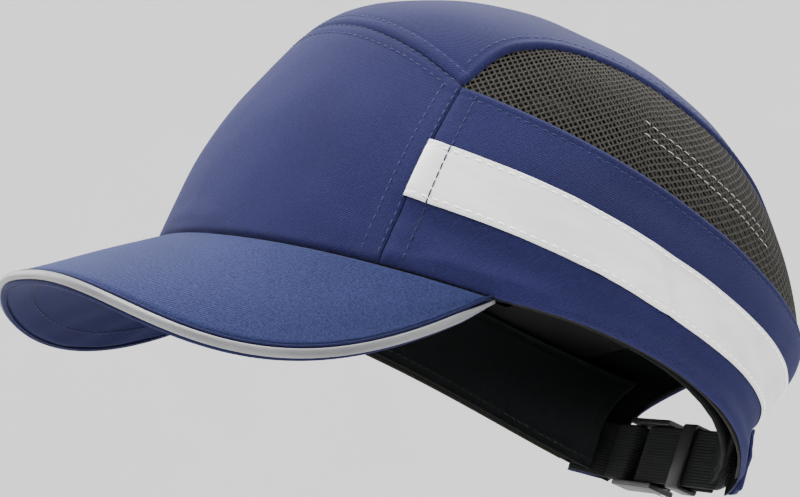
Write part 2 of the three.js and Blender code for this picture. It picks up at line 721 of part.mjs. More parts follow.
// A ring round both layers of the strap, open along X
function strapKeeper() {
  const low = STRAP_Y - STRAP_THICKNESS / 2 - KEEPER_CLEARANCE;
  const high = STRAP_Y + LAYER_SPACING + STRAP_THICKNESS / 2 + KEEPER_CLEARANCE;
  const bottom = STRAP_BOTTOM_Z - KEEPER_CLEARANCE;
  const top = STRAP_BOTTOM_Z + STRAP_WIDTH + KEEPER_CLEARANCE;
  const box = (grow) => [
    new THREE.Vector2(low - grow, bottom - grow),
    new THREE.Vector2(high + grow, bottom - grow),
    new THREE.Vector2(high + grow, top + grow),
    new THREE.Vector2(low - grow, top + grow),
  ];
  const shape = new THREE.Shape(box(KEEPER_WALL));
  shape.holes.push(new THREE.Path(box(0).reverse()));
  const ring = upright(shape, -KEEPER_WIDTH / 2, KEEPER_WIDTH, 1);
  const turn = new THREE.Matrix4().set(0, 0, 1, KEEPER_X, 1, 0, 0, 0, 0, 1, 0, 0, 0, 0, 0, 1);
  return ring.applyMatrix4(turn);
}

const NAVY = 0x2b3a78;
const BLACK = 0x17181b;
const FOAM = 0x222326;
const SILVER = 0xd6d7d6;
const MESH_GREY = 0x54524c;
const STEEL = 0xa8a9ab;

const cap = new THREE.Group();
cap.name = "bump_cap";

function add(name, geometry, color) {
  const material = new THREE.MeshStandardMaterial({ color, roughness: 0.8 });
  const mesh = new THREE.Mesh(geometry, material);
  mesh.name = name;
  cap.add(mesh);
}

function addPair(name, geometry, color) {
  add(`${name}_left`, geometry, color);
  add(`${name}_right`, mirrored(geometry), color);
}

add("front_panel", frontPanel(), NAVY);
add("top_panel", topPanel(), NAVY);
addPair("side_band", sideBand(), NAVY);
addPair("mesh_panel", meshPanel(), MESH_GREY);
addPair("reflective_tape", reflectiveTape(), SILVER);
addPair("seam_tape", seamTape(), NAVY);
add("peak_top_cover", peakLayer(24, 3, PEAK_TOP_LAYER), NAVY);
add("peak_board", peakLayer(24, 3, PEAK_BOARD_LAYER), BLACK);
add("peak_under_cover", peakLayer(24, 3, PEAK_UNDER_LAYER), NAVY);
add("peak_piping", peakPiping(), SILVER);
add("inner_shell", innerShell(), BLACK);
add("crown_pad", crownPad(), FOAM);
add("front_pad", pad(FRONT_PAD), FOAM);
addPair("side_pad", pad(SIDE_PAD), FOAM);
add("rear_pad", pad(REAR_PAD), FOAM);
add("sweatband", sweatband(), BLACK);
addPair("rim_binding", rimBinding(), BLACK);
add("arch_binding", archBinding(), BLACK);
addPair("rear_tab", rearTab(), NAVY);
add("rear_strap", rearStrap(), BLACK);
add("strap_loop", strapLoop(), BLACK);
add("buckle_frame", buckleFrame(), BLACK);
add("buckle_lever", buckleLever(), BLACK);
add("lever_pin", leverPin(), STEEL);
add("strap_keeper", strapKeeper(), BLACK);

export default cap;
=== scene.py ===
import math

import bmesh
import bpy
import numpy as np
from mathutils import Matrix, Vector


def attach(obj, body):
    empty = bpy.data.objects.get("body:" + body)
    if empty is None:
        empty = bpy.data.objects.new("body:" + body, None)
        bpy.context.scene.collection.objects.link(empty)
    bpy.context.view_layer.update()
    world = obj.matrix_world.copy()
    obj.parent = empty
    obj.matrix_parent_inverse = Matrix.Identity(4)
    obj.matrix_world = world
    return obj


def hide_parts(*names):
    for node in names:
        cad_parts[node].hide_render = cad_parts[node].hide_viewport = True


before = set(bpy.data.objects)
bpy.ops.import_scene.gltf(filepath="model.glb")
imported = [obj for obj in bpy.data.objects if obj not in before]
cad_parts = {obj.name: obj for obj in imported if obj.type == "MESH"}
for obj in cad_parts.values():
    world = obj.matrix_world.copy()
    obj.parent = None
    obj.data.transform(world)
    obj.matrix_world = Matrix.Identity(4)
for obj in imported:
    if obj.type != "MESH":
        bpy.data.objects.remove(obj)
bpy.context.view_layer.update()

# Crown outline in millimetres, the same surface as the CAD part
HALF_WIDTH, FRONT_LENGTH, BACK_LENGTH = 96.9, 97.2, 107.3
BACK_BULGE, BULGE_START, BULGE_END = 0.21, 0.2, 0.488
CROWN_HEIGHT, BASE_Z, LEAN = 130.5, -10.0, 5.3
FULL = (2.83, 2.43, 2.2)  # front, side, back
CENTRE = np.array([0.0, 8.0, 25.0])
SEAM_ANGLE = 47.2
CORNER_ANGLE = 68.0
STRIP_HALF_WIDTH, STRIP_REAR = 58.8, 40.0
STRAP_Y, STRAP_Z0, STRAP_W = 97.0, 0.3, 20.0
LAYERS = 4.4  # depth of the strap's two layers with the room between them
PIN_X, PIN_Y = -5.5, STRAP_Y + 7.3
CENTRE_BAR_X, RIGHT_BAR_X = -13.0, -22.0

# Edges of the crown's panels
RIM = (16.4, -2.5, -16.55, 5.8)  # height of the lower edge, by powers of the angle's cosine
SEAM_MIDDLE_Z = 10.9
BAND_TOP_Z, BAND_TOP_SLOPE, DROOP = 67.8, 0.12, 0.00025
ARCH_HALF_WIDTH, ARCH_LOW, ARCH_RISE, ARCH_POWER = 33.5, -0.7, 50.7, 2.6
TAPE_Z, TAPE_WIDTH, TAPE_SLOPE, TAPE_FAN = 30.6, 17.7, 0.06, 0.025
TAPE_START, TAPE_END = 46.7, 159.5

# The peak: its tip, how square its outline is and how far it arches
PEAK_TIP_Y, PEAK_TIP_Z, PEAK_POWER = -138.0, -18.9, 2.31
PEAK_ARCH, ARCH_SHAPE = 67.4, 2.4

# Depths under the crown's outline
SHELL_OUTSIDE, SHELL_INSIDE, PAD_BACK, PAD_THICK = -2.7, -4.6, -5.3, 4.9
CROWN_PAD_RADIUS, CROWN_PAD_Z, PAD_ROUND, PAD_FILL = 34.0, 102.0, 2.6, 0.9
PAD_GAP = 0.1  # more room above the crown pad than behind the others

FLOOR_Z = -0.62  # metres
MM = 0.001


def smooth(x):
    x = np.clip(x, 0, 1)
    return x * x * (3 - 2 * x)


def power(x, e):
    return np.sign(x) * np.abs(x) ** e


def unit(v):
    return v / np.maximum(1e-12, np.linalg.norm(v, axis=-1, keepdims=True))


def fullness(c):
    front, back = np.clip(c, 0, None) ** 2, np.clip(-c, 0, None) ** 2
    return FULL[0] * front + FULL[2] * back + FULL[1] * (1 - front - back)


def plan_length(front, t):
    swell = smooth((t - BULGE_START) / (BULGE_END - BULGE_START))
    return np.where(front, FRONT_LENGTH, BACK_LENGTH * (1 + BACK_BULGE * swell))


def level(p):
    t = np.clip((p[..., 2] - BASE_Z) / CROWN_HEIGHT, 0, None)
    back = p[..., 1] - LEAN * t * t
    along = back / plan_length(back < 0, t)
    reach = np.maximum(1e-9, np.hypot(p[..., 0] / HALF_WIDTH, along))
    n = fullness(-along / reach)
    return reach**n + t**n


def normal(p):
    out = np.empty_like(p)
    for k in range(3):
        step = np.zeros(3)
        step[k] = 0.05
        out[..., k] = level(p + step) - level(p - step)
    return unit(out)


def cast(origin, direction, depth=0.0):
    """Where a ray leaves the crown, moved along the surface normal."""
    direction = unit(direction)
    near, far = np.zeros(direction.shape[:-1]), np.full(direction.shape[:-1], 250.0)
    for _ in range(40):
        middle = (near + far) / 2
        inside = level(origin + direction * middle[..., None]) < 1
        near, far = np.where(inside, middle, near), np.where(inside, far, middle)
    p = origin + direction * near[..., None]
    return p + normal(p) * np.asarray(depth)[..., None] if np.any(depth) else p


def from_centre(p, depth=0.0):
    return cast(CENTRE, p - CENTRE, depth)


def wall(angle, z, depth=0.0):
    angle, z = np.broadcast_arrays(np.asarray(angle, float), np.asarray(z, float))
    c, s = np.cos(np.radians(angle)), np.sin(np.radians(angle))
    t = np.clip((z - BASE_Z) / CROWN_HEIGHT, 0, 0.99999)
    n = fullness(c)
    k = (1 - t**n) ** (1 / n)
    y = -plan_length(c > 0, t) * c * k + LEAN * t * t
    p = np.stack([HALF_WIDTH * s * k, y, z], -1)
    return p + normal(p) * np.asarray(depth)[..., None] if np.any(depth) else p


def back_angle(x, z):
    t = (z - BASE_Z) / CROWN_HEIGHT
    k = (1 - t ** FULL[2]) ** (1 / FULL[2])
    return 180 - np.degrees(np.arcsin(np.clip(x / (HALF_WIDTH * k), -1, 1)))


def roof(x, angle, depth=0.0):
    x, angle = np.broadcast_arrays(np.asarray(x, float), np.asarray(angle, float))
    a = np.radians(angle)
    origin = np.stack([x, np.full_like(x, CENTRE[1]), np.full_like(x, CENTRE[2])], -1)
    direction = np.stack([np.zeros_like(x), -np.cos(a), np.sin(a)], -1)
    return cast(origin, direction, depth)


def rim_z(angle):
    c = np.cos(np.radians(angle))
    return RIM[0] + RIM[1] * c + RIM[2] * c**2 + RIM[3] * c**3


def seam_z(angle):
    corner = rim_z(CORNER_ANGLE)
    share = np.abs(np.sin(np.radians(angle)) / math.sin(math.radians(CORNER_ANGLE)))
    return corner + (SEAM_MIDDLE_Z - corner) * (1 - np.clip(share, 0, 1) ** 3)


def bottom_z(angle):
    return np.where(np.abs(angle) < CORNER_ANGLE, seam_z(angle), rim_z(angle))


def tilted(angle, z0, slope):
    p = wall(angle, z0)
    for _ in range(6):
        y = p[..., 1]
        p = wall(angle, z0 - slope * y - DROOP * y * y)
    return p


def band_top(angle, rise=0.0):
    return tilted(angle, BAND_TOP_Z + rise, BAND_TOP_SLOPE)


CORNER = band_top(np.array(SEAM_ANGLE))


def roof_angle(p):
    return np.degrees(np.arctan2(p[..., 2] - CENTRE[2], CENTRE[1] - p[..., 1]))


STRIP_START = float(roof_angle(CORNER))
REAR_Z = float(band_top(np.array(155.0))[2])
STRIP_END_SIDE = float(roof_angle(band_top(back_angle(STRIP_REAR, REAR_Z))))
REAR_EDGE = band_top(np.linspace(180.0, 140.0, 161))


def strip_end(x):
    """Where the top strip meets the band behind, as a roof angle at a distance from the middle."""
    return np.interp(np.abs(x), REAR_EDGE[:, 0], roof_angle(REAR_EDGE))


def strip_half_width(angle):
    flare = (CORNER[0] - STRIP_HALF_WIDTH) * (1 - smooth((angle - STRIP_START) / 16))
    taper = (STRIP_HALF_WIDTH - STRIP_REAR) * smooth((angle - 105) / 40)
    return STRIP_HALF_WIDTH + flare - taper


def arch_edge(share, outward=0.0):
    a = np.asarray(share) * np.pi / 2
    x = ARCH_HALF_WIDTH * power(np.cos(a), 2 / ARCH_POWER)
    z = ARCH_LOW + ARCH_RISE * power(np.sin(a), 2 / ARCH_POWER) + outward * np.sin(a)
    return np.clip(x, 0, None) + outward * np.cos(a), z


def peak_edge(share):
    a = np.asarray(share) * np.pi / 2
    corner = wall(CORNER_ANGLE, rim_z(CORNER_ANGLE))
    x = corner[0] * power(np.sin(a), 2 / PEAK_POWER)
    reach = np.abs(np.cos(a)) ** (2 / PEAK_POWER)
    arch = PEAK_ARCH * (1 - np.abs(x / corner[0]) ** ARCH_SHAPE)
    z = corner[2] + (PEAK_TIP_Z - PEAK_ARCH - corner[2]) * reach + arch
    return np.stack([x, corner[1] + (PEAK_TIP_Y - corner[1]) * reach, z], -1)


def peak_reach(share):
    """The peak's length from its seam to its edge, measured square to the edge."""
    along = unit(peak_edge(share + 0.004) - peak_edge(share - 0.004))
    return np.linalg.norm(np.cross(peak_edge(share) - peak_root(share), along), axis=-1)


def peak_root(share):
    share = np.asarray(share, float)
    corner = wall(CORNER_ANGLE, rim_z(CORNER_ANGLE))
    x = np.clip(peak_edge(share)[..., 0] / corner[0], -1, 1)
    same = np.degrees(np.arcsin(x * math.sin(math.radians(CORNER_ANGLE))))
    mix = np.clip(share**4, 0, 1)
    angle = same + (CORNER_ANGLE * np.clip(share, -1, 1) - same) * mix
    return wall(angle, seam_z(angle))


def peak_point(share, v, depth=0.0):
    share, v = np.broadcast_arrays(np.asarray(share, float), np.asarray(v, float))
    root, edge, w = peak_root(share), peak_edge(share), v[..., None]
    low = peak_root(share - 0.005) * (1 - w) + peak_edge(share - 0.005) * w
    high = peak_root(share + 0.005) * (1 - w) + peak_edge(share + 0.005) * w
    n = unit(np.cross(high - low, edge - root))
    n = np.where(n[..., 2:] < 0, -n, n)
    return root * (1 - w) + edge * w + n * np.asarray(depth)[..., None], n


# ---------------------------------------------------------------- soft relief of the cloth


def ridge(p, n, start, end, width, height):
    """A soft fold between two points, in millimetres, that fades out at both ends.

    Distances are taken along the surface, whose normals are n, so the fold bends with it."""
    a, b = np.array(start, float), np.array(end, float)
    span = b - a
    share = ((p - a) @ span) / (span @ span)
    gap = p - a - np.clip(share, 0, 1)[..., None] * span
    gap = gap - np.sum(gap * n, axis=-1, keepdims=True) * n
    far = 1 - smooth((np.linalg.norm(p - (a + b) / 2, axis=-1) - np.linalg.norm(span)) / 20)
    off = np.linalg.norm(gap, axis=-1) / width
    fade = smooth((share + 0.15) / 0.35) * smooth((1.15 - share) / 0.45)
    return height * fade * far * np.exp(-(off**2))


def slow_waves(p, seed, size, height):
    """A gentle unevenness made of a few plane waves in different directions."""
    rng = np.random.default_rng(seed)
    out = np.zeros(p.shape[:-1])
    for _ in range(7):
        k = unit(rng.normal(size=3)) * rng.uniform(0.6, 1.6) * 2 * np.pi / size
        out += np.sin(p @ k + rng.uniform(0, 2 * np.pi))
    return out * height / 3


def wrinkles(p):
    """How far the crown's cloth stands out or sinks in at a point."""
    side = np.abs(p[..., 0])[..., None]
    q = np.concatenate([side, p[..., 1:]], -1)
    n = normal(q)
    out = slow_waves(q, 3, 85, 0.42) + slow_waves(q, 11, 30, 0.13)
    folds = [
        ((70, -63, 28), (94, -8, 25), 4.0, -1.9),
        ((78, -53, 19), (93, -16, 18), 2.8, 1.2),
        ((84, -42, 14), (94, 4, 23), 2.2, -1.1),
        ((74, -62, 17), (88, -36, 24), 3.0, -0.9),
        ((70, -66, 15), (84, -46, 20), 2.6, 1.0),
        ((93, 5, 27), (88, 52, 21), 3.4, -1.0),
        ((93, -14, 62), (86, 34, 58), 5.0, -0.5),
        ((66, -66, 28), (76, -56, 33), 3.0, -0.4),
        ((60, -71, 16), (46, -83, 30), 4.0, 0.5),
        ((20, -96, 16), (-20, -96, 19), 3.0, 0.5),
        ((84, 45, 14), (60, 84, 8), 2.4, 0.6),
        ((80, 52, 20), (56, 87, 15), 2.6, -0.6),
        ((62, 82, 14), (40, 97, 10), 2.0, 0.5),
        ((58, 85, 20), (38, 98, 18), 2.0, -0.5),
    ]
    for start, end, width, height in folds:
        out = out + ridge(q, n, start, end, width, height)
    return out + shoulder(p)


def shoulder(p):
    """The front of the crown is drawn tight over its top edge and hangs straighter below it."""
    d = p - CENTRE
    flat = np.hypot(d[..., 0], d[..., 1])
    rise = np.degrees(np.arctan2(d[..., 2], flat))
    front = smooth((-d[..., 1] / np.maximum(flat, 1)) * 1.6 + 0.1)
    swell = 2.0 * np.exp(-(((rise - 43) / 9) ** 2)) - 0.8 * np.exp(-(((rise - 25) / 9) ** 2))
    return front * (swell - 0.8 * np.exp(-(((rise - 70) / 12) ** 2)))


def fold_in(d, depth=0.8, puff=0.22, row=4.0):
    """Section of a sewn edge: it turns in at the seam, puffs up and dips at its stitch row."""
    edge = -depth * np.exp(-((d / 0.9) ** 2))
    if not row:
        return edge
    rise = puff * np.exp(-(((d - 0.5 * row) / (0.35 * row)) ** 2))
    dip = -0.28 * np.exp(-(((d - row) / 0.55) ** 2))
    return edge + rise + dip


# ---------------------------------------------------------------- meshes


def new_mesh(name, points, faces):
    """A mesh from points in millimetres."""
    mesh = bpy.data.meshes.new(name)
    mesh.from_pydata((np.asarray(points, float) * MM).tolist(), [], [list(f) for f in faces])
    return mesh


def put(name, data):
    """A new object that stands in the scene."""
    thing = bpy.data.objects.new(name, data)
    bpy.context.scene.collection.objects.link(thing)
    return thing


def cleaned(mesh):
    """Joins doubled points and turns every face outwards."""
    worker = bmesh.new()
    worker.from_mesh(mesh)
    bmesh.ops.remove_doubles(worker, verts=worker.verts, dist=1e-6)
    bmesh.ops.recalc_face_normals(worker, faces=worker.faces)
    worker.to_mesh(mesh)
    worker.free()


def declare(piece, body, nodes):
    """Says which body a piece rides on and the nodes it replaces."""
    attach(piece, body)
    if nodes:
        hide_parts(*nodes)
    return piece


def make(name, points, faces, material, body="cap", nodes=(), uv=None):
    """A mesh piece from points in millimetres."""
    mesh = new_mesh(name, points, faces)
    mesh.validate()
    if uv is not None:
        layer = mesh.uv_layers.new(name="cut")
        index = np.empty(len(mesh.loops), int)
        mesh.loops.foreach_get("vertex_index", index)
        layer.data.foreach_set("uv", (np.asarray(uv, float)[index] * MM).ravel())
    mesh.polygons.foreach_set("use_smooth", [True] * len(mesh.polygons))
    mesh.materials.append(material)
    return declare(put(name, mesh), body, nodes)


def outward(points, faces):
    """Turns every face round if the closed surface is inside out."""
    p = np.asarray(points)
    volume = 0.0
    for f in faces:
        for k in range(1, len(f) - 1):
            volume += np.dot(p[f[0]], np.cross(p[f[k]], p[f[k + 1]]))
    return [f[::-1] for f in faces] if volume < 0 else faces


def slab_faces(nu, nv):
    """Quads of a closed slab of two nu by nv grids of points."""
    size = nu * nv
    grid = np.arange(size).reshape(nu, nv)
    a, b, c, d = grid[:-1, :-1], grid[1:, :-1], grid[1:, 1:], grid[:-1, 1:]
    top = np.stack([a, b, c, d], -1).reshape(-1, 4)
    faces = [top, top[:, ::-1] + size]
    loop = np.concatenate([grid[:, 0], grid[-1, 1:], grid[-2::-1, -1], grid[0, -2:0:-1]])
    nxt = np.roll(loop, -1)
    faces.append(np.stack([nxt, loop, loop + size, nxt + size], -1))
    return np.concatenate(faces).tolist()


def ring_faces(rings, sides, start=0, closed=False):
    """Quads from each ring of points to the next, and from the last to the first if closed."""
    faces = []
    for r in range(rings if closed else rings - 1):
        here, there = start + r * sides, start + (r + 1) % rings * sides
        for k in range(sides):
            m = (k + 1) % sides
            faces.append((here + k, here + m, there + m, there + k))
    return faces


def rod_faces(rings, sides, start=0):
    """Faces of a rod made of rings of points, with a cap at each end."""
    end = start + (rings - 1) * sides
    caps = [tuple(range(start + sides - 1, start - 1, -1)), tuple(range(end, end + sides))]
    return ring_faces(rings, sides, start) + caps


def dome_faces(rings, sides):
    """Faces of a hollow dome of two skins, each of rings from the edge up and then a top point."""
    size = rings * sides + 1
    last = size - 1 - sides
    pairs = [(k, (k + 1) % sides) for k in range(sides)]
    skin = ring_faces(rings, sides) + [(last + a, last + b, size - 1) for a, b in pairs]
    inner = [tuple(corner + size for corner in face[::-1]) for face in skin]
    return skin + inner + [(b, a, a + size, b + size) for a, b in pairs]


def distance_along(line):
    """Distance from the start of a line of points to each of them."""
    return np.concatenate([[0], np.cumsum(np.linalg.norm(np.diff(line, axis=0), axis=1))])


def taken_at(at, run, values):
    """The values of a line's points at distances along it."""
    return np.stack([np.interp(at, run, column) for column in values.T], -1)


def lengths(p, axis):
    """Distance from the start and to the end of each grid line."""
    step = np.linalg.norm(np.diff(p, axis=axis), axis=-1)
    pad = [(0, 0), (0, 0)]
    pad[axis] = (1, 0)
    start = np.pad(np.cumsum(step, axis=axis), pad)
    total = np.take(start, [-1], axis=axis)
    return start, total - start


def spaced(length, step, fine=(0.3, 0.7, 1.2, 1.8, 2.5, 3.2, 3.7, 4.0, 4.4, 5.0, 6.0)):
    """Shares along a line of that length, closer together near both ends."""
    ends = [d for d in fine if d < length / 2 - step / 2]
    last = ends[-1] if ends else 0
    count = max(1, int(round((length - 2 * last) / step)))
    middle = np.linspace(last, length - last, count + 1)
    line = [0, *ends[:-1], *middle, *[length - d for d in ends[:-1]][::-1], length]
    return np.unique(np.round(line, 4)) / length


def panel(name, surface, size, step, material, nodes, relief=None, seams=(1, 1, 1, 1),
          thick=1.0, base=0.0, rows=(4, 4, 4, 4), depth=0.8, reverse=None):
    """A cut piece of cloth on a surface given as points for shares u and v."""
    u, v = np.meshgrid(spaced(size[0], step), spaced(size[1], step), indexing="ij")
    p = surface(u, v)
    n = normal(p)
    u0, u1 = lengths(p, 0)
    v0, v1 = lengths(p, 1)
    out = relief(p) if relief else np.zeros(p.shape[:-1])
    for d, seam, row in zip((u0, u1, v0, v1), seams, rows):
        if seam:
            out = out + seam * fold_in(d, depth=depth, row=row)
    close = np.minimum(np.minimum(u0, u1), np.minimum(v0, v1))
    round_off = 0.4 * thick * np.clip(1 - close / (0.5 * thick), 0, 1) ** 2
    outer = p + n * (base + out - round_off)[..., None]
    inner = p + n * (base + np.minimum(out, 0.5) * 0.8 - thick + round_off)[..., None]
    points = np.concatenate([outer.reshape(-1, 3), inner.reshape(-1, 3)])
    flat = np.stack([u0.reshape(-1), v0.reshape(-1)], -1)
    faces = outward(points, slab_faces(*u.shape))
    piece = make(name, points, faces, material, "cap", nodes, np.concatenate([flat, flat]))
    if reverse:
        piece.data.materials.append(reverse)
        outer_count = (u.shape[0] - 1) * (u.shape[1] - 1)
        for face in piece.data.polygons[outer_count : 2 * outer_count]:
            face.material_index = 1
    return piece


def stitches(name, line, up, material, slot, pitch=3.0, length=2.2, width=0.5, high=0.3):
    """A row of thread stitches along a line of points, each one dipping into the cloth."""
    run = distance_along(line)
    count = max(1, int(run[-1] / pitch))
    starts = (np.arange(count) + 0.5) * run[-1] / count
    shares = np.array([-0.5, -0.38, -0.15, 0.15, 0.38, 0.5])
    lift = np.array([-0.45, 0.3, 0.75, 0.75, 0.3, -0.45]) * high
    swell = np.array([0.45, 0.85, 1.0, 1.0, 0.85, 0.45])
    at = starts[:, None] + shares[None] * length
    middle, top = taken_at(at, run, line), unit(taken_at(at, run, up))
    forward = unit(taken_at(at + 0.1, run, line) - taken_at(at - 0.1, run, line))
    side = unit(np.cross(top, forward))
    ring = np.radians(np.arange(6) * 60)
    across = np.cos(ring)[None, None, :, None] * side[:, :, None] * width / 2
    rise = np.sin(ring)[None, None, :, None] * top[:, :, None] * high / 2
    body_points = middle[:, :, None] + (across + rise) * swell[None, :, None, None]
    body_points = body_points + top[:, :, None] * lift[None, :, None, None]
    faces = []
    for k in range(count):
        faces += rod_faces(6, 6, k * 36)
    return make(name, body_points.reshape(-1, 3), faces, material, "cap")


def crown_row(line, lift=0.0):
    """A line of points on the crown, raised with the cloth's relief, and its normals."""
    n = normal(line)
    return line + n * (wrinkles(line) + lift)[..., None], n


def even(line, other, step):
    """Both lists of points resampled at even steps along the first."""
    run = distance_along(line)
    at = np.linspace(0, run[-1], int(run[-1] / step) + 1)
    return taken_at(at, run, line), taken_at(at, run, other)


def tube(name, line, up, material, nodes, wide, high, sides=14, tip=2):
    """A closed tube with an oval section that narrows over its last few steps, tip of them."""
    forward = unit(np.gradient(line, axis=0))
    side = unit(np.cross(up, forward))
    top = np.cross(forward, side)
    ring = np.linspace(0, 2 * np.pi, sides, endpoint=False)
    from_end = np.minimum(np.arange(len(line)), np.arange(len(line))[::-1])
    taper = 0.4 + 0.6 * smooth(from_end / tip)
    section = (np.cos(ring)[None, :, None] * side[:, None] * wide / 2
               + np.sin(ring)[None, :, None] * top[:, None] * high / 2)
    points = (line[:, None] + section * taper[:, None, None]).reshape(-1, 3)
    faces = outward(points, rod_faces(len(line), sides))
    around = np.arange(sides) * (wide + high) * 1.57 / sides
    uv = np.stack([np.repeat(distance_along(line), sides), np.tile(around, len(line))], -1)
    return make(name, points, faces, material, "cap", nodes, uv)


def extruded(name, outline, z0, z1, material, nodes, body="cap", bevel=0.4, holes=()):
    """An upright extrusion of an outline in the XY plane, with softened edges."""
    curve = bpy.data.curves.new(name, "CURVE")
    curve.dimensions = "2D"
    curve.fill_mode = "BOTH"
    for ring in (outline, *holes):
        spline = curve.splines.new("POLY")
        spline.points.add(len(ring) - 1)
        for point, (x, y) in zip(spline.points, ring):
            point.co = (x * MM, y * MM, 0, 1)
        spline.use_cyclic_u = True
    curve.extrude = ((z1 - z0) / 2 - bevel) * MM
    curve.bevel_depth = bevel * MM
    curve.bevel_resolution = 2
    curve.offset = -bevel * MM
    temporary = put(name, curve)
    graph = bpy.context.evaluated_depsgraph_get()
    mesh = bpy.data.meshes.new_from_object(temporary.evaluated_get(graph))
    bpy.data.objects.remove(temporary)
    mesh.transform(Matrix.Translation((0, 0, (z0 + z1) / 2 * MM)))
    mesh.materials.clear()
    mesh.materials.append(material)
    cleaned(mesh)
    mesh.polygons.foreach_set("use_smooth", [True] * len(mesh.polygons))
    mesh.set_sharp_from_angle(angle=math.radians(40))
    return declare(put(name, mesh), body, nodes)


# ---------------------------------------------------------------- materials


class Shader:
    """A principled material that is built one node at a time."""

    def __init__(self, name, color, rough, **sockets):
        self.material = bpy.data.materials.new(name)
        self.material.use_nodes = True
        self.tree = self.material.node_tree
        self.shade = self.tree.nodes["Principled BSDF"]
        self.shade.inputs["Base Color"].default_value = (*color, 1)
        self.shade.inputs["Roughness"].default_value = rough
        for key, value in sockets.items():
            self.shade.inputs[key.replace("_", " ")].default_value = value
        self.bump = None

    def node(self, kind, **settings):
        made = self.tree.nodes.new(kind)
        for key, value in settings.items():
            setattr(made, key, value)
        return made

    def link(self, a, b):
        self.tree.links.new(a, b)

    def place(self, scale, rotate=0.0, uv=True):
        where = self.node("ShaderNodeTexCoord").outputs["UV" if uv else "Object"]
        mapping = self.node("ShaderNodeMapping")
        mapping.inputs["Scale"].default_value = scale
        mapping.inputs["Rotation"].default_value = (0, 0, rotate)
        self.link(where, mapping.inputs["Vector"])
        return mapping.outputs["Vector"]

    def noise(self, scale, detail=3.0, rotate=0.0, uv=False, rough=0.55):
        made = self.node("ShaderNodeTexNoise")
        made.inputs["Scale"].default_value = 1.0
        made.inputs["Detail"].default_value = detail
        made.inputs["Roughness"].default_value = rough
        self.link(self.place(scale, rotate, uv), made.inputs["Vector"])
        return made.outputs["Fac"]

    def wave(self, scale, rotate, distortion=0.6):
        made = self.node("ShaderNodeTexWave", bands_direction="X")
        made.inputs["Scale"].default_value = 1.0
        made.inputs["Distortion"].default_value = distortion
        made.inputs["Detail Scale"].default_value = 2.0
        self.link(self.place((scale, scale, scale), rotate), made.inputs["Vector"])
        return made.outputs["Fac"]

    def mix(self, factor, low, high):
        ramp = self.node("ShaderNodeValToRGB")
        ramp.color_ramp.elements[0].color = (*low, 1)
        ramp.color_ramp.elements[1].color = (*high, 1)
        ramp.color_ramp.elements[0].position = 0.3
        ramp.color_ramp.elements[1].position = 0.7
        self.link(factor, ramp.inputs["Fac"])
        return ramp.outputs["Color"]

    def color(self, factor, low, high):
        made = self.mix(factor, low, high)
        self.link(made, self.shade.inputs["Base Color"])
        return made

    def multiply(self, first, factor, low, high):
        """Darkens a colour where factor is low."""
        made = self.node("ShaderNodeMix", data_type="RGBA", blend_type="MULTIPLY")
        made.inputs["Factor"].default_value = 1.0
        self.link(first, made.inputs["A"])
        self.link(self.mix(factor, (low,) * 3, (high,) * 3), made.inputs["B"])
        self.link(made.outputs["Result"], self.shade.inputs["Base Color"])
        return made.outputs["Result"]

    def roughness(self, factor, low, high):
        made = self.node("ShaderNodeMapRange")
        made.inputs["To Min"].default_value = low
        made.inputs["To Max"].default_value = high
        self.link(factor, made.inputs["Value"])
        self.link(made.outputs["Result"], self.shade.inputs["Roughness"])

    def raise_by(self, factor, distance, strength=1.0):
        made = self.node("ShaderNodeBump")
        made.inputs["Distance"].default_value = distance
        made.inputs["Strength"].default_value = strength
        self.link(factor, made.inputs["Height"])
        if self.bump is not None:
            self.link(self.bump, made.inputs["Normal"])
        self.bump = made.outputs["Normal"]
        self.link(self.bump, self.shade.inputs["Normal"])


def cloth_material(name, dark, light, sheen=0.35, slub=0.55):
    """Cotton twill: fine diagonal ribs, uneven yarns and slow colour drift."""
    s = Shader(name, light, 0.85, Sheen_Weight=sheen, Sheen_Roughness=0.45, Specular_IOR_Level=0.08)
    s.shade.inputs["Sheen Tint"].default_value = (0.5, 0.58, 1.0, 1)
    yarn = s.noise((900, 2600, 900), 4.0, math.radians(35), uv=True, rough=0.7)
    first = s.color(yarn, dark, light)
    fleck = s.noise((1500, 1500, 1500), 2.0, rough=0.8)
    second = s.multiply(first, fleck, 1 - slub * 0.45, 1 + slub * 0.35)
    s.multiply(second, s.noise((26, 26, 26), 2.0), 0.9, 1.08)
    s.roughness(yarn, 0.78, 0.95)
    s.raise_by(s.wave(420, math.radians(40), 1.2), 0.00012, 0.5)
    s.raise_by(yarn, 0.00018, 0.45)
    s.raise_by(s.noise((70, 70, 70), 3.0), 0.0006, 0.2)
    return s.material


def thread_material(name, dark, light):
    s = Shader(name, light, 0.6, Sheen_Weight=0.03, Specular_IOR_Level=0.15)
    twist = s.noise((1800, 1800, 1800), 2.0)
    s.color(twist, dark, light)
    s.roughness(twist, 0.5, 0.75)
    s.raise_by(twist, 0.0001, 0.5)
    return s.material


def tape_material(name, dark, light):
    """Retroreflective tape: smooth glass-bead surface with faint creases and scuffs."""
    s = Shader(name, light, 0.42, Metallic=0.12)
    drift = s.noise((40, 160, 40), 4.0, math.radians(20), uv=True)
    s.color(drift, dark, light)
    beads = s.noise((4200, 4200, 4200), 1.0)
    s.roughness(s.noise((120, 120, 120), 4.0), 0.36, 0.52)
    s.raise_by(beads, 0.00004, 0.25)
    s.raise_by(s.noise((35, 130, 35), 3.0, math.radians(-25), uv=True), 0.0012, 0.22)
    return s.material


def plastic_material(name, dark, light, rough, gloss):
    s = Shader(name, light, sum(rough) / 2, Specular_IOR_Level=gloss)
    grain = s.noise((2200, 2200, 2200), 2.0)
    s.color(s.noise((60, 60, 60), 4.0), dark, light)
    s.roughness(s.noise((90, 90, 90), 5.0), *rough)
    s.raise_by(grain, 0.00006, 0.3)
    return s.material


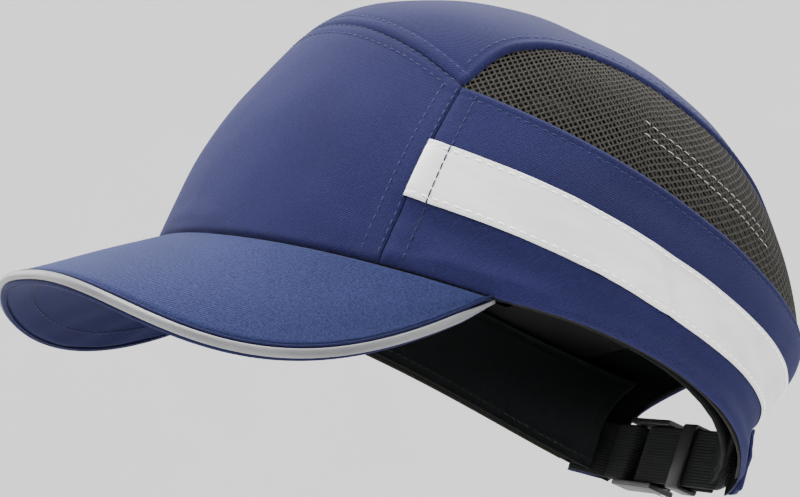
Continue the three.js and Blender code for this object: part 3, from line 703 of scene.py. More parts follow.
def foam_material(name, dark, light):
    s = Shader(name, light, 0.92, Specular_IOR_Level=0.1)
    cells = s.node("ShaderNodeTexVoronoi")
    cells.inputs["Scale"].default_value = 1.0
    s.link(s.place((1300, 1300, 1300), uv=False), cells.inputs["Vector"])
    s.color(cells.outputs["Distance"], dark, light)
    s.roughness(s.noise((200, 200, 200)), 0.85, 1.0)
    s.raise_by(cells.outputs["Distance"], 0.0002, 0.6)
    return s.material


def webbing_material(name, dark, light):
    """Woven strap: herringbone ribs along its length."""
    s = Shader(name, light, 0.75, Sheen_Weight=0.02, Specular_IOR_Level=0.08)
    rib = s.wave(300, math.radians(90), 0.4)
    fine = s.wave(900, math.radians(25), 1.0)
    s.color(fine, dark, light)
    s.roughness(fine, 0.6, 0.85)
    s.raise_by(rib, 0.0003, 0.6)
    s.raise_by(fine, 0.00015, 0.6)
    return s.material


def metal_material(name, dark, light):
    s = Shader(name, light, 0.3, Metallic=1.0)
    brushed = s.noise((200, 200, 4000), 3.0)
    s.color(brushed, dark, light)
    s.roughness(brushed, 0.25, 0.4)
    s.raise_by(brushed, 0.00003, 0.3)
    return s.material


NAVY = cloth_material("navy_twill", (0.0068, 0.0068, 0.031), (0.0128, 0.0134, 0.054), 0.04)
PEAK_NAVY = cloth_material("peak_twill", (0.009, 0.0115, 0.041), (0.019, 0.0245, 0.078), 0.05, 1.0)
UNDER_NAVY = cloth_material("under_twill", (0.0056, 0.0062, 0.025), (0.0096, 0.0108, 0.041), 0.03)
LINING = cloth_material("lining_brushed", (0.0022, 0.0028, 0.003), (0.004, 0.0048, 0.0052), 0.0, 0.3)
EDGE_BINDING = cloth_material("edge_binding", (0.006, 0.0055, 0.004), (0.013, 0.012, 0.009), 0.02, 0.3)
SELF_THREAD = thread_material("navy_thread", (0.009, 0.0105, 0.044), (0.02, 0.0225, 0.074))
CREASE_THREAD = thread_material("deep_navy_thread", (0.005, 0.0055, 0.024), (0.011, 0.012, 0.045))
WHITE_THREAD = thread_material("white_thread", (0.85, 0.85, 0.84), (0.97, 0.97, 0.96))
MESH_STITCH = thread_material("mesh_stitch_thread", (0.2, 0.2, 0.19), (0.34, 0.34, 0.32))
LINING_THREAD = thread_material("black_thread", (0.002, 0.002, 0.002), (0.005, 0.005, 0.005))
MESH_THREAD = cloth_material("mesh_yarn", (0.012, 0.0112, 0.0095), (0.055, 0.052, 0.044), 0.02, 0.9)
TAPE = tape_material("reflective_tape", (0.51, 0.51, 0.507), (0.62, 0.62, 0.615))
PIPING = tape_material("reflective_piping", (0.07, 0.07, 0.074), (0.12, 0.12, 0.126))
SHELL = plastic_material("shell_plastic", (0.0016, 0.0016, 0.0017), (0.0034, 0.0034, 0.0036),
                         (0.45, 0.65), 0.14)
BOARD = plastic_material("board_plastic", (0.5, 0.5, 0.48), (0.58, 0.58, 0.56), (0.4, 0.6), 0.4)
BUCKLE = plastic_material("buckle_plastic", (0.003, 0.0028, 0.0027), (0.006, 0.0056, 0.0052),
                          (0.35, 0.55), 0.2)
FOAM = foam_material("pad_foam", (0.003, 0.003, 0.0033), (0.007, 0.007, 0.0078))
WEBBING = webbing_material("webbing", (0.0016, 0.0019, 0.002), (0.0035, 0.004, 0.0042))
STEEL = metal_material("pin_steel", (0.4, 0.4, 0.41), (0.6, 0.6, 0.61))

NAVY_SLOT, PEAK_SLOT = "navy_cloth", "peak_cloth"


def mix_points(a, b, v):
    return a + (b - a) * v[..., None]


def two_sides():
    return (("left", 1.0), ("right", -1.0))


def flipped(points, side):
    return points * np.array([side, 1.0, 1.0])


# ---------------------------------------------------------------- crown cloth


def front_surface(u, v):
    angle = (2 * u - 1) * (SEAM_ANGLE - 0.03)
    low = wall(angle, seam_z(angle) + 0.2)
    share = np.sin(np.radians(angle)) / math.sin(math.radians(SEAM_ANGLE))
    high = roof(CORNER[0] * share, np.full_like(share, STRIP_START - 0.04))
    return from_centre(mix_points(low, high, v))


def top_surface(u, v):
    side = 2 * u - 1
    end = strip_end(side * STRIP_REAR) + 0.12
    start = STRIP_START + 0.04
    angle = start + (end - 0.06 - start) * v
    return roof(side * (strip_half_width(angle) - 0.05), angle)


def band_surface(side):
    corner, rear = 0.8, 150.0
    start = SEAM_ANGLE + 0.03
    tab = float(back_angle(ARCH_HALF_WIDTH, ARCH_LOW))

    def surface(u, v):
        angle = start + (tab - start) * np.clip(u / corner, 0, 1)
        low = wall(angle, bottom_z(angle) + np.where(angle < CORNER_ANGLE, 0.2, 0))
        x, z = arch_edge(np.clip((u - corner) / (1 - corner), 0, 1))
        arch = wall(back_angle(x, z), z)
        low = np.where((u > corner)[..., None], arch, low)
        before = start + (rear - start) * u / corner
        after = rear + (179.95 - rear) * (u - corner) / (1 - corner)
        high = band_top(np.where(u > corner, after, before), -0.2)
        return flipped(from_centre(mix_points(low, high, v)), side)

    return surface


def build_crown():
    panel("front_cloth", front_surface, (150, 82), 2.4, NAVY, ["front_panel"], wrinkles,
          rows=(6, 6, 0, 4.5), seams=(0.35, 0.35, 1, 0.6), reverse=LINING)
    panel("top_cloth", top_surface, (118, 200), 2.8, NAVY, ["top_panel"], wrinkles,
          rows=(3.5, 3.5, 4.5, 4), seams=(0.8, 0.8, 0.7, 0.8), reverse=LINING)
    for word, side in two_sides():
        panel("side_cloth_" + word, band_surface(side), (225, 55), 2.2, NAVY,
              ["side_band_" + word], lambda p: wrinkles(p) + hem(p), rows=(6, 4, 0, 3.5),
              seams=(0.35, 0.5, 0.7, 0.8), reverse=LINING)


def hem(p):
    """The turned-up lower edge of the side band: a soft roll just above the rim."""
    angle = np.degrees(np.arctan2(np.abs(p[..., 0]) / HALF_WIDTH, -p[..., 1] / 101))
    above = p[..., 2] - rim_z(angle)
    on = smooth((angle - 60) / 12)
    roll, dip = np.exp(-(((above - 3.2) / 2.6) ** 2)), np.exp(-(((above - 8.5) / 2.2) ** 2))
    return on * (0.55 * roll - 0.5 * dip)


def crown_stitches(name, line, lift, thread=SELF_THREAD, slot=NAVY_SLOT, pitch=2.9, width=0.45, **size):
    """A row of stitches on the crown's cloth, following its relief."""
    points, n = crown_row(line, lift)
    stitches(name, points, n, thread, slot, pitch=pitch, width=width, **size)


def build_seam_stitches():
    for word, side in two_sides():
        for k, off in enumerate((-6.0, -1.0, 6.0)):
            v = np.linspace(0.02, 0.985, 60)
            angle = SEAM_ANGLE + np.degrees(off / 93.0)
            low = wall(np.full_like(v, angle), seam_z(angle) + 1)
            top = wall(np.full_like(v, angle), np.full_like(v, band_top(np.array(angle))[2] - 0.5))
            line = from_centre(mix_points(low, top, v))
            line = flipped(line, side)
            over = np.zeros(len(line))
            if off > 0:
                low_z, high_z = (tape_point(np.full(60, angle), e)[:, 2] for e in (-0.03, 1.03))
                over = np.where((line[:, 2] > low_z) & (line[:, 2] < high_z), 0.75, 0.0)
            thread, length = (CREASE_THREAD, 2.75) if off > 0 else (SELF_THREAD, 2.3)
            crown_stitches(f"front_seam_thread_{word}_{k}", line, over - 0.18, thread, length=length)
        u = np.linspace(0.01, 0.99, 160)
        rear = back_angle(STRIP_REAR + 2, REAR_Z)
        line = band_top(SEAM_ANGLE + 1 + (rear - SEAM_ANGLE - 1) * u, -3.7)
        crown_stitches("band_top_thread_" + word, flipped(line, side), -0.22)
        angle = STRIP_START + 3 + (STRIP_END_SIDE - STRIP_START - 5) * u
        line = roof(strip_half_width(angle) - 3.7, angle)
        crown_stitches("strip_edge_thread_" + word, flipped(line, side), -0.22)
    for k, off in enumerate((-4.6, -0.9, 4.6)):
        x = np.linspace(-CORNER[0] + 1.5, CORNER[0] - 1.5, 120)
        line = roof(x, np.full_like(x, STRIP_START + np.degrees(off / 105.0)))
        crown_stitches(f"top_seam_thread_{k}", line, -0.2)
    x = np.linspace(-STRIP_REAR + 3, STRIP_REAR - 3, 60)
    crown_stitches("strip_end_thread", roof(x, strip_end(x) - 2.3), -0.22)


# ---------------------------------------------------------------- side mesh


def mesh_lattice(side, pitch=1.25, hole=0.7):
    """Open net: diamond cells, each a ring of four rounded strands, and its flat size and area."""
    angles = np.arange(46.0, 168.0, np.degrees(pitch / 84.0))
    fine = np.linspace(0, 1, 120)
    columns = []
    rows = 58
    for angle in angles:
        low = band_top(np.array(angle), -3.0)
        z = low[2] + (117.0 - low[2]) * fine
        line = wall(np.full_like(z, angle), z)
        columns.append(np.interp(np.arange(rows) * pitch, distance_along(line), z))
    z = np.array(columns)
    grid = wall(angles[:, None] + 0 * z, z)
    n = normal(grid)
    i, j = np.meshgrid(np.arange(1, len(angles) - 1), np.arange(1, rows - 1), indexing="ij")
    keep = (i + j) % 2 == 0
    middle = grid[i, j]
    turn = roof_angle(middle)
    past_strip = np.abs(middle[..., 0]) > strip_half_width(turn) - 2.2
    inside = past_strip & (turn > STRIP_START - 1) & (np.arange(rows)[j] < rows - 2)
    a = angles[i]
    keep &= inside & (a > SEAM_ANGLE + 0.3)
    i, j = i[keep], j[keep]
    bend = (wrinkles(grid) * 0.8)[..., None]
    knot = np.add.outer(np.arange(len(angles)), np.arange(rows))
    wavy = 0.1 * np.where(knot % 4 < 2, 1, -1)[..., None]
    top = grid + n * (bend - 1.12 + wavy)
    corners = [(i - 1, j), (i, j - 1), (i + 1, j), (i, j + 1)]
    outer = np.stack([top[c] for c in corners], 1)
    mid = outer.mean(1, keepdims=True)
    up = np.stack([n[c] for c in corners], 1)
    inner = mid + (outer - mid) * hole - up * 0.1
    crest = mid + (outer - mid) * (0.5 + 0.5 * hole) + up * 0.1
    under = inner - up * 0.3
    points = np.stack([outer, crest, inner, under], 1)
    count = len(points)
    faces = []
    for level_from, level_to in ((0, 1), (1, 2), (2, 3)):
        for k in range(4):
            m = (k + 1) % 4
            start = np.arange(count) * 16
            faces.append(np.stack([start + level_from * 4 + k, start + level_from * 4 + m,
                                   start + level_to * 4 + m, start + level_to * 4 + k], -1))
    across, along = outer[:, 0] - outer[:, 2], outer[:, 1] - outer[:, 3]
    cells = 0.5 * np.linalg.norm(np.cross(across, along), axis=-1)
    cut = (np.ptp(i) + 2) * pitch * MM, (np.ptp(j) + 2) * pitch * MM
    return flipped(points.reshape(-1, 3), side), np.concatenate(faces), cut, cells.sum() * MM**2


def build_mesh_panels():
    for word, side in two_sides():
        points, faces, cut, area = mesh_lattice(side)
        if side < 0:
            faces = faces[:, ::-1]
        net = make("mesh_net_" + word, points, faces.tolist(), MESH_THREAD, "cap",
                   ["mesh_panel_" + word])
        for k, rise in enumerate((12.5, 17.0)):
            angle = np.linspace(88, 122, 60)
            line = wall(angle, band_top(angle)[..., 2] + rise + 0.10 * (105 - angle))
            crown_stitches(f"mesh_thread_{word}_{k}", flipped(line, side), -0.85, MESH_STITCH, "side_mesh",
                           pitch=3.1, width=0.36, high=0.2)


# ---------------------------------------------------------------- reflective tape


def tape_point(angle, v):
    """A point of the tape, from its lower edge (v 0) to its upper edge (v 1)."""
    return tilted(angle, TAPE_Z + TAPE_WIDTH * v, TAPE_SLOPE + TAPE_FAN * v)


def tape_relief(p):
    out = wrinkles(p)
    q = np.concatenate([np.abs(p[..., :1]), p[..., 1:]], -1)
    n = normal(q)
    for start, end, width, height in (((90, -24, 50), (94, -6, 24), 2.2, 0.45),
                                      ((91, 6, 47), (93, 22, 20), 2.0, 0.55),
                                      ((91, 14, 47), (93, 31, 20), 3.4, -0.18),
                                      ((88, -42, 46), (92, -24, 28), 3.0, -0.15),
                                      ((78, 58, 40), (82, 54, 20), 2.6, 0.35)):
        out = out + ridge(q, n, start, end, width, height)
    return out


def build_tapes():
    for word, side in two_sides():
        def surface(u, v, side=side):
            return flipped(tape_point(TAPE_START + (TAPE_END - TAPE_START) * u, v), side)

        panel("tape_" + word, surface, (185, 19.5), 1.6, TAPE,
              ["reflective_tape_" + word], tape_relief, thick=0.35, base=0.62, depth=0.15,
              rows=(6, 2, 1.6, 1.6), seams=(0.6, 0.6, 0.8, 0.8))
        for k, v in enumerate((0.085, 0.915)):
            line = flipped(tape_point(np.linspace(TAPE_START + 0.5, TAPE_END - 0.7, 220), v), side)
            n = normal(line)
            points = line + n * (tape_relief(line) + 0.45)[:, None]
            stitches(f"tape_thread_{word}_{k}", points, n, WHITE_THREAD, "reflective_tape", pitch=3.3,
                     length=2.3, width=0.6, high=0.4)


# ---------------------------------------------------------------- peak


def peak_relief(u, v):
    x = (u - 0.5) * 180
    return 0.25 * np.sin(x / 17.0 + 3 * v) * np.sin(v * 5 + x / 40)


def peak_sheet(name, layers, material, node, relief, clear=2.1):
    """A cover of the peak, between its seam and its piping. layers are the depths of its two faces."""
    u, v = np.meshgrid(spaced(230, 2.2), spaced(48, 1.8, (0.4, 0.8, 1.3, 2.0, 2.8)), indexing="ij")
    share = (2 * u - 1) * 0.993
    line = np.linalg.norm(peak_root(share) - peak_edge(share), axis=-1)
    last = 1 - np.minimum(0.8, clear / peak_reach(share))
    across = np.minimum(0.1, 0.25 / line) * (1 - v) + last * v
    p, n = peak_point(share, across)
    v0, v1 = lengths(p, 1)
    bend = relief(u, v) - 0.7 * np.exp(-((v1 / 0.9) ** 2)) - 0.5 * np.exp(-((v0 / 0.9) ** 2))
    shares = (1.0, 0.5) if layers[0] == 0 else (-0.5, -1.0)
    out = [p + n * (layer + bend * each)[..., None] for layer, each in zip(layers, shares)]
    points = np.concatenate([out[0].reshape(-1, 3), out[1].reshape(-1, 3)])
    u0, _ = lengths(p, 0)
    flat = np.stack([u0.reshape(-1), v0.reshape(-1)], -1)
    faces = outward(points, slab_faces(*u.shape))
    piece = make(name, points, faces, material, "cap", [node], np.concatenate([flat, flat]))


def under_relief(u, v):
    fan = np.sin((u - 0.5) * 95) * 0.5 * smooth((v - 0.05) / 0.3) * (1 - 0.7 * v)
    spread = smooth(np.abs(u - 0.5) * 3.2 - 0.25)
    return fan * spread + 0.18 * np.sin((u - 0.5) * 30 + v * 4)


def peak_line(share, inset, depth):
    """Points a distance in from the peak's edge, and the surface normal there."""
    return peak_point(share, 1 - inset / peak_reach(share), depth)


def build_peak():
    peak_sheet("peak_top_cloth", (0.0, -1.0), PEAK_NAVY, "peak_top_cover", peak_relief)
    peak_sheet("peak_under_cloth", (-3.6, -4.5), UNDER_NAVY, "peak_under_cover", under_relief,
               clear=1.0)
    share = np.linspace(-0.998, 0.998, 260)
    middle, n = even(*peak_point(share, np.ones_like(share), -1.2), 1.5)
    out = unit(np.cross(np.gradient(middle, axis=0), n))
    tube("peak_piping_roll", middle, unit(out + 0.5 * n), PIPING, ["peak_piping"],
         2.8, 2.4, 16, tip=9)
    rim, rim_n = even(*peak_line(np.linspace(-0.98, 0.98, 400), 1.75, -0.35), 1.5)
    tube("peak_edge_fold", rim, rim_n, UNDER_NAVY, (), 1.0, 0.9, 8)
    low, low_n = even(*peak_line(np.linspace(-0.99, 0.99, 400), 0.1, -3.3), 1.5)
    tube("peak_under_fold", low, low_n, UNDER_NAVY, (), 1.9, 1.9, 10, tip=6)
    row, row_n = even(*peak_line(np.linspace(-0.965, 0.965, 400), 0.5, -4.2), 1.0)
    stitches("peak_under_thread", row, -row_n, CREASE_THREAD, PEAK_SLOT, pitch=2.0, length=1.4, width=0.5)
    row, row_n = even(*peak_line(np.linspace(-0.9, 0.9, 400), 9.0, -4.5), 1.0)
    stitches("peak_row_thread", row, -row_n, CREASE_THREAD, PEAK_SLOT, pitch=3.0, width=0.4)


# ---------------------------------------------------------------- bindings, tabs and lining


def finish_board():
    """The stiff board inside the peak keeps its shape and takes the sheet plastic's finish."""
    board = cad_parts["peak_board"]
    for place in board.material_slots:
        place.material = BOARD


def build_trims():
    for word, side in two_sides():
        angle = np.linspace(CORNER_ANGLE + 1, 149, 90)
        line = flipped(wall(angle, rim_z(angle) + 1.0, -1.7), side)
        tube("rim_edge_binding_" + word, line, normal(line), EDGE_BINDING,
             ["rim_binding_" + word], 2.4, 1.3, 10)
        angles = (SEAM_ANGLE - 3.6, SEAM_ANGLE + 3.6)

        def tape_surface(u, v, side=side, angles=angles):
            angle = angles[0] + (angles[1] - angles[0]) * u
            return flipped(wall(angle, 14.5 + 54.5 * v, -1.5), side)

        panel("seam_cover_" + word, tape_surface, (12, 55), 2.0, UNDER_NAVY,
              ["seam_tape_" + word], wrinkles, thick=0.45, seams=(0, 0, 0, 0))
    share = np.linspace(-1, 1, 130)
    x, z = arch_edge(1 - 0.68 * np.abs(share), 0.9)
    line = wall(back_angle(x, z), z, -1.4)
    line[:, 0] *= np.sign(share)
    tube("arch_edge_binding", line, normal(line), LINING, ["arch_binding"], 2.2, 1.5, 10)


def build_tabs():
    """Cloth folded round the strap's ends and gathered by its stitching."""
    for word, side in two_sides():
        def surface(u, v, side=side):
            x = 49.5 - 15.6 * u
            z = 0.2 + 20.2 * v
            return flipped(wall(back_angle(x, z), z), side)

        def relief(p):
            pleats = 0.45 * np.sin(p[..., 2] * 1.05 + np.abs(p[..., 0]) * 0.35)
            pull = smooth((49 - np.abs(p[..., 0])) / 9)
            return wrinkles(p) + pleats * pull

        panel("tab_cloth_" + word, surface, (17.5, 20.4), 0.8, NAVY, ["rear_tab_" + word],
              relief, thick=1.0, base=1.45, seams=(0.6, 0.6, 0.3, 0.3), rows=(3, 2.4, 0, 0))
        for k, x in enumerate((36.2, 46.8)):
            z = np.linspace(1.6, 19.2, 24)
            line = flipped(wall(back_angle(np.full_like(z, x), z), z), side)
            n = normal(line)
            points = line + n * (relief(line) + 1.3)[:, None]
            stitches(f"tab_thread_{word}_{k}", points, n, SELF_THREAD, NAVY_SLOT, pitch=2.2, length=1.7,
                     width=0.5)


def build_sweatband():
    def surface(u, v):
        angle = (2 * u - 1) * 157
        low = bottom_z(angle) + 1.0
        return wall(angle, low + 32.0 * v, -5.9)

    def relief(p):
        angle = np.degrees(np.arctan2(p[..., 0] / HALF_WIDTH, -p[..., 1] / 101))
        above = (p[..., 2] - bottom_z(angle)) / 33
        quilt = -0.9 * np.clip(np.sin(np.pi * np.clip(above, 0, 1)), 0, 1) ** 0.5
        return quilt + 0.15 * np.sin(angle * 0.9) + slow_waves(p, 5, 40, 0.15)

    panel("sweatband_cloth", surface, (440, 33), 3.0, LINING, ["sweatband"],
                  relief, thick=1.4, base=0.0, seams=(0.5, 0.5, 0.5, 0.5))
    angle = np.linspace(-155, 155, 340)
    line = wall(angle, bottom_z(angle) + 4.5, -7.6)
    stitches("sweatband_thread", line, -normal(line), LINING_THREAD, "lining_cloth", pitch=3.0, width=0.5)


# ---------------------------------------------------------------- shell and pads


def shell_low(angle):
    return 26 + 34 * smooth((np.abs(angle) - 125) / 35)


def build_shell():
    columns, rows = 180, 46
    angle = np.linspace(-180, 180, columns, endpoint=False)
    low = unit(wall(angle, shell_low(angle)) - CENTRE)
    top = wall(np.array(0.0), BASE_Z + CROWN_HEIGHT * 0.99999)
    up = unit(top - CENTRE)
    turn = np.arccos(np.clip(low @ up, -1, 1))
    share = np.linspace(0, 1, rows, endpoint=False)[:, None]
    direction = (low[None] * np.sin((1 - share) * turn)[..., None]
                 + up[None, None] * np.sin(share * turn)[..., None])
    skins = []
    for depth in (SHELL_OUTSIDE, SHELL_INSIDE):
        ring = cast(CENTRE, direction, depth)
        if depth == SHELL_INSIDE:
            ring[0] += np.array([0, 0, 0.2])
        skins.append(np.concatenate([ring.reshape(-1, 3), [[top[0], top[1], top[2] + depth]]]))
    points = np.concatenate(skins)
    faces = outward(points, dome_faces(rows, columns))
    piece = make("shell_moulding", points, faces, SHELL, "cap", ["inner_shell"])
    cut_slots(piece)


def slot_outline(angle, z):
    """A slot with round ends, 30 mm long and 7 mm wide, level along the crown, and its normal."""
    place = wall(np.array(float(angle)), float(z))
    n = normal(place)
    along = unit(np.cross([0, 0, 1], n))
    cross = np.cross(n, along)
    ring = []
    for centre, first in ((11.5, -90), (-11.5, 90)):
        for a in np.radians(first + np.arange(0, 181, 20)):
            ring.append(place + along * (centre + 3.5 * math.cos(a)) + cross * 3.5 * math.sin(a))
    return np.array(ring), n


def cut_slots(piece):
    """Five vent slots through each side of the shell."""
    cutters = []
    for angle, z in ((62, 58), (88, 56), (114, 55), (72, 78), (104, 76)):
        for sign in (1, -1):
            ring, n = slot_outline(sign * angle, z)
            cutters.append(np.concatenate([ring + n * 8, ring - n * 12]))
    count = len(cutters[0]) // 2
    faces = []
    for k in range(len(cutters)):
        faces += rod_faces(2, count, k * 2 * count)
    mesh = new_mesh("slots", np.concatenate(cutters), faces)
    cleaned(mesh)
    cutter = put("slots", mesh)
    change = piece.modifiers.new("slots", "BOOLEAN")
    change.operation, change.object, change.solver = "DIFFERENCE", cutter, "EXACT"
    graph = bpy.context.evaluated_depsgraph_get()
    made = bpy.data.meshes.new_from_object(piece.evaluated_get(graph))
    piece.modifiers.clear()
    piece.data = made
    made.set_sharp_from_angle(angle=math.radians(35))
    bpy.data.objects.remove(cutter)


def quarter_round(d, radius):
    """How far a rounded edge has fallen at a distance from it, as a share of the radius."""
    q = np.clip(1 - d / radius, 0, 1)
    return 1 - np.sqrt(np.clip(1 - q**2, 0, 1))


def cushion(name, surface, size, node):
    """A foam pad with rounded edges; its back lies on the shell."""
    u, v = np.meshgrid(*(spaced(each, 2.0, (0.15, 0.5, 1.2, 2.2, 3.5)) for each in size), indexing="ij")
    p = surface(u, v)
    n = normal(p)
    u0, u1 = lengths(p, 0)
    v0, v1 = lengths(p, 1)
    edge = np.minimum(np.minimum(u0, u1), np.minimum(v0, v1))
    fall = quarter_round(edge, 3.0) * PAD_ROUND
    dent = 0.35 * np.exp(-((u - 0.5) ** 2) * 3) * np.sin(np.pi * v)
    back = p - n * 0.2
    front = p - n * (PAD_THICK - fall + dent)[..., None]
    points = np.concatenate([back.reshape(-1, 3), front.reshape(-1, 3)])
    piece = make(name, points, outward(points, slab_faces(*u.shape)), FOAM, "cap", [node])


def build_pads():
    def patch(first, last, low, high):
        def surface(u, v):
            return wall(first + (last - first) * u, low + (high - low) * v, PAD_BACK)

        return surface

    cushion("front_foam", patch(-28, 28, 50, 80), (84, 33), "front_pad")
    cushion("side_foam_left", patch(72, 108, 52, 80), (52, 31), "side_pad_left")
    cushion("side_foam_right", patch(-72, -108, 52, 80), (52, 31), "side_pad_right")
    cushion("rear_foam", patch(158, 202, 66, 92), (58, 30), "rear_pad")
    build_crown_pad()


def build_crown_pad():
    """A round pad under the top of the shell, flat below, with a rounded lower edge."""
    rings, sides = 18, 72
    share = np.sin(np.linspace(0, np.pi / 2, rings + 1)[:0:-1])
    around = np.linspace(0, 2 * np.pi, sides, endpoint=False)
    x = CROWN_PAD_RADIUS * share[:, None] * np.cos(around)
    y = 10 + CROWN_PAD_RADIUS * share[:, None] * np.sin(around)
    origin = np.stack([x, y, np.full_like(x, CENTRE[2])], -1)
    top = cast(origin, np.broadcast_to([0, 0, 1.0], origin.shape))
    top[..., 2] -= (PAD_GAP - PAD_BACK) / normal(top)[..., 2]
    fall = PAD_ROUND * quarter_round((1 - share) * CROWN_PAD_RADIUS, 3.0)
    low = np.stack([x, y, CROWN_PAD_Z + np.broadcast_to(fall[:, None], x.shape)], -1)
    peak = cast(np.array([[0, 10, CENTRE[2]]]), np.array([[0, 0, 1.0]]))
    points = np.concatenate([top.reshape(-1, 3), [[0, 10, peak[0, 2] - PAD_GAP + PAD_BACK]],
                             low.reshape(-1, 3), [[0, 10, CROWN_PAD_Z]]])
    faces = outward(points, dome_faces(rings, sides))
    make("crown_foam", points, faces, FOAM, "cap", ["crown_pad"])


# ---------------------------------------------------------------- strap and buckle


def arc(cx, cy, radius, first, last, steps):
    a = np.radians(np.linspace(first, last, steps + 1))
    return np.stack([cx + radius * np.cos(a), cy + radius * np.sin(a)], -1)


def ribbon(name, path, nodes):
    """Webbing along a path in the XY plane, with soft selvedges."""
    path = np.asarray(path, float)
    run = distance_along(path)
    at = np.unique(np.concatenate([np.arange(0, run[-1], 0.5), run]))
    line = taken_at(at, run, path)
    along = unit(np.gradient(line, axis=0))
    out = np.stack([-along[:, 1], along[:, 0]], -1)
    z = np.array([0, 0.25, 0.7, 1.4, 3, 6, 10, 14, 17, 18.6, 19.3, 19.75, 20.0]) + STRAP_Z0
    from_edge = np.minimum(z - STRAP_Z0, STRAP_Z0 + STRAP_W - z)
    thin = 0.6 - 0.35 * np.clip(1 - from_edge / 0.7, 0, 1) ** 2
    sides = []
    for sign in (1, -1):
        flat = line[:, None] + sign * out[:, None] * thin[None, :, None]
        sides.append(np.concatenate([flat, np.broadcast_to(z[None, :, None], (*flat.shape[:2], 1))], -1))
    points = np.concatenate([sides[0].reshape(-1, 3), sides[1].reshape(-1, 3)])
    uv = np.stack(np.broadcast_arrays(at[:, None], z[None]), -1).reshape(-1, 2)
    faces = outward(points, slab_faces(len(line), len(z)))
    piece = make(name, points, faces, WEBBING, "cap", nodes, np.concatenate([uv, uv]))


def hidden_end(side):
    angle = np.linspace(150.5, 159.5, 8)
    p = wall(angle, STRAP_Z0 + STRAP_W / 2, -3.4)
    return np.stack([side * p[:, 0], p[:, 1]], -1)


def build_strap():
    y = STRAP_Y + LAYERS / 2
    wrap = arc(CENTRE_BAR_X, y, LAYERS / 2, -90, -270, 16)
    ribbon("rear_webbing", [*hidden_end(1), *wrap, (24, STRAP_Y + LAYERS)], ["rear_strap"])
    lap = [(-32, STRAP_Y + 1.55), (-29.5, STRAP_Y + 1.55), (-27.5, STRAP_Y + 2.3), (-25.5, STRAP_Y + 3.4)]
    wrap = arc(RIGHT_BAR_X, y, LAYERS / 2, 100, -90, 16)
    ribbon("loop_webbing", [*lap, *wrap, *hidden_end(-1)[::-1]], ["strap_loop"])
    low, high = STRAP_Y - 1.6, STRAP_Y + 6
    outline = [(RIGHT_BAR_X - 3, low), (PIN_X + 3, low), *arc(PIN_X, PIN_Y, 3, 0, 180, 14),
               (PIN_X - 3, high), (RIGHT_BAR_X - 2, high), (RIGHT_BAR_X - 3, high - 1)]
    hole = arc(PIN_X, PIN_Y, 1.05, 0, 345, 23)
    for k, z in enumerate((STRAP_Z0 - 2.4, STRAP_Z0 + 20.4)):
        nodes = ["buckle_frame"] if k == 0 else ()
        extruded(f"buckle_cheek_{k}", outline, z, z + 2, BUCKLE, nodes, bevel=0.35,
                 holes=[hole])
    for k, x in enumerate((CENTRE_BAR_X, RIGHT_BAR_X)):
        extruded(f"buckle_bar_{k}", arc(x, y, 1.3, 0, 345, 23), STRAP_Z0 - 1, STRAP_Z0 + 21, BUCKLE,
                 (), bevel=0.1)
    top = PIN_Y + 1.3
    bottom = top - 1.8
    tip = -26.5
    barrel = arc(PIN_X, PIN_Y, 2.0, 139.46, -165.52, 28)
    lever = [*barrel, (tip + 6, bottom), (tip + 4.4, bottom + 0.1), (tip + 2.6, bottom + 0.5),
             (tip + 1.2, bottom + 1.3), (tip, bottom + 2.4), (tip + 0.6, bottom + 4),
             (tip + 1.9, bottom + 2.9), (tip + 3.4, bottom + 2.2), (tip + 5.2, bottom + 1.9),
             (tip + 7, top)]
    extruded("lever_flap", lever, STRAP_Z0, STRAP_Z0 + 20, BUCKLE, ["buckle_lever"],
             body="lever", bevel=0.35, holes=[arc(PIN_X, PIN_Y, 1.1, 0, 345, 23)])
    extruded("pin_rod", arc(PIN_X, PIN_Y, 1.0, 0, 345, 23), STRAP_Z0 - 2.4, STRAP_Z0 + 22.4, STEEL,
             ["lever_pin"], bevel=0.15)
    build_keeper()


def build_keeper():
    """A rounded ring round both layers of the strap."""
    low, high = STRAP_Y - 0.95, STRAP_Y + LAYERS + 0.95
    bottom, top = STRAP_Z0 - 0.35, STRAP_Z0 + STRAP_W + 0.35

    def ring(grow, corner):
        points = []
        for cy, cz, first in ((high, top, 0), (low, top, 90), (low, bottom, 180), (high, bottom, 270)):
            oy = cy + (grow - corner) * (1 if cy == high else -1)
            oz = cz + (grow - corner) * (1 if cz == top else -1)
            for a in np.radians(np.linspace(first, first + 90, 7)):
                points.append((oy + corner * math.cos(a), oz + corner * math.sin(a)))
        return np.array(points)

    sections = [(0.0, 0.3, 6.8), (0.15, 0.35, 6.55), (0.3, 0.4, 6.5), (0.9, 0.9, 6.5), (1.1, 1.0, 6.65),
                (1.2, 1.1, 7.0), (1.2, 1.1, 13.0), (1.1, 1.0, 13.35), (0.9, 0.9, 13.5), (0.3, 0.4, 13.5),
                (0.15, 0.35, 13.45), (0.0, 0.3, 13.2)]
    loops = [np.column_stack([np.full(28, x), ring(grow, corner)]) for grow, corner, x in sections]
    points = np.concatenate(loops)
    faces = outward(points, ring_faces(len(loops), 28, closed=True))
    piece = make("keeper_ring", points, faces, BUCKLE, "keeper", ["strap_keeper"])
    piece.data.set_sharp_from_angle(angle=math.radians(50))


# ---------------------------------------------------------------- stage, light and camera


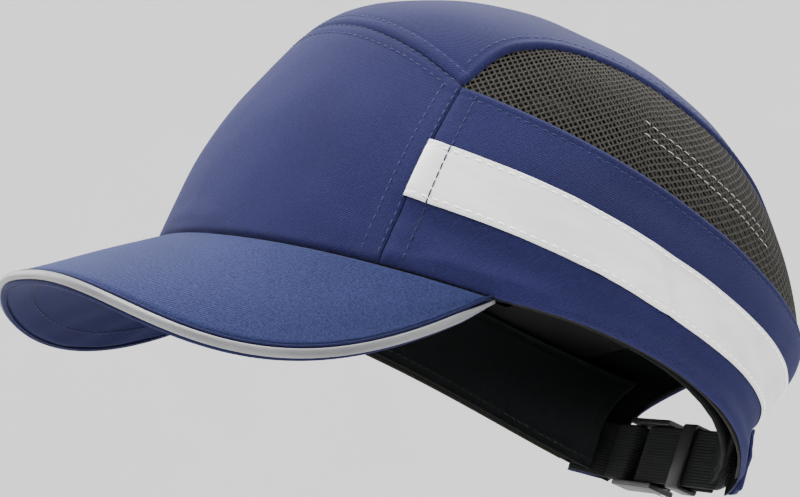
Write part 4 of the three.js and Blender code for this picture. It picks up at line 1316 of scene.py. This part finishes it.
def build_stage():
    s = Shader("studio_white", (0.9, 0.9, 0.9), 0.9)
    s.color(s.noise((3, 3, 3)), (0.88, 0.88, 0.88), (0.92, 0.92, 0.92))
    radius, rings, sides = 4.0, 40, 96
    around = 2 * np.pi * np.arange(sides) / sides
    points = []
    for share in 1.6 * np.arange(rings + 1) / rings:
        rise = max(0.0, share - 1) / 0.6 * math.pi / 2
        r = radius * min(1.0, share) + 1.2 * math.sin(rise)
        z = np.full(sides, FLOOR_Z + 3.2 * (1 - math.cos(rise)))
        points.append(np.stack([r * np.cos(around), r * np.sin(around), z], -1) / MM)
    mesh = new_mesh("floor", np.concatenate(points), ring_faces(rings + 1, sides))
    mesh.polygons.foreach_set("use_smooth", [True] * len(mesh.polygons))
    mesh.materials.append(s.material)
    put("floor", mesh)


def area_light(name, place, target, size, power_w):
    lamp = bpy.data.lights.new(name, "AREA")
    lamp.shape, lamp.size, lamp.size_y = "RECTANGLE", size[0], size[1]
    lamp.energy = power_w
    thing = put(name, lamp)
    thing.location = place
    thing.rotation_mode = "QUATERNION"
    thing.rotation_quaternion = (Vector(target) - Vector(place)).to_track_quat("-Z", "Y")


def build_light(back, right, up):
    world = bpy.data.worlds.new("studio")
    bpy.context.scene.world = world
    world.use_nodes = True
    world.node_tree.nodes["Background"].inputs["Color"].default_value = (1, 1, 1, 1)
    world.node_tree.nodes["Background"].inputs["Strength"].default_value = 1.5
    middle = np.array([0, -0.01, 0.05])

    def spot(b, r, u):
        return tuple(middle + back * b + right * r + up * u)

    area_light("key", spot(0.05, -0.5, 1.1), middle, (0.9, 0.9), 46)
    area_light("top_back", spot(-0.75, 0.35, 1.0), middle, (0.9, 0.7), 40)
    area_light("rear_side", spot(0.5, 1.3, 0.1), middle, (0.7, 0.7), 9)
    area_light("left_back", spot(-0.7, -1.0, 0.4), middle, (0.6, 0.8), 12)
    area_light("front", spot(1.2, 0.3, 0.5), middle, (0.9, 0.7), 6)


def build_camera():
    azimuth, elevation, roll = (math.radians(a) for a in (63.53, -12.01, 19.65))
    back = np.array([math.sin(azimuth) * math.cos(elevation), -math.cos(azimuth) * math.cos(elevation),
                     math.sin(elevation)])
    right = np.array([math.cos(azimuth), math.sin(azimuth), 0.0])
    up = np.cross(back, right)
    side = right * math.cos(roll) + up * math.sin(roll)
    top = -right * math.sin(roll) + up * math.cos(roll)
    place = np.array([0, 0, 0.05]) + back * 0.699 + side * -0.02553 + top * -0.0035
    data = bpy.data.cameras.new("camera")
    data.sensor_width = 36
    data.lens = 2148.43 / 800 * 36
    data.clip_start, data.clip_end = 0.01, 50
    camera = put("camera", data)
    camera.matrix_world = Matrix([[*row, p] for row, p in zip(np.stack([side, top, back], 1), place)]
                                 + [[0, 0, 0, 1]])
    bpy.context.scene.camera = camera
    return back, side, top


build_crown()
build_seam_stitches()
build_mesh_panels()
build_tapes()
build_peak()
finish_board()
build_trims()
build_tabs()
build_sweatband()
build_shell()
build_pads()
build_strap()
build_stage()
build_light(*build_camera())
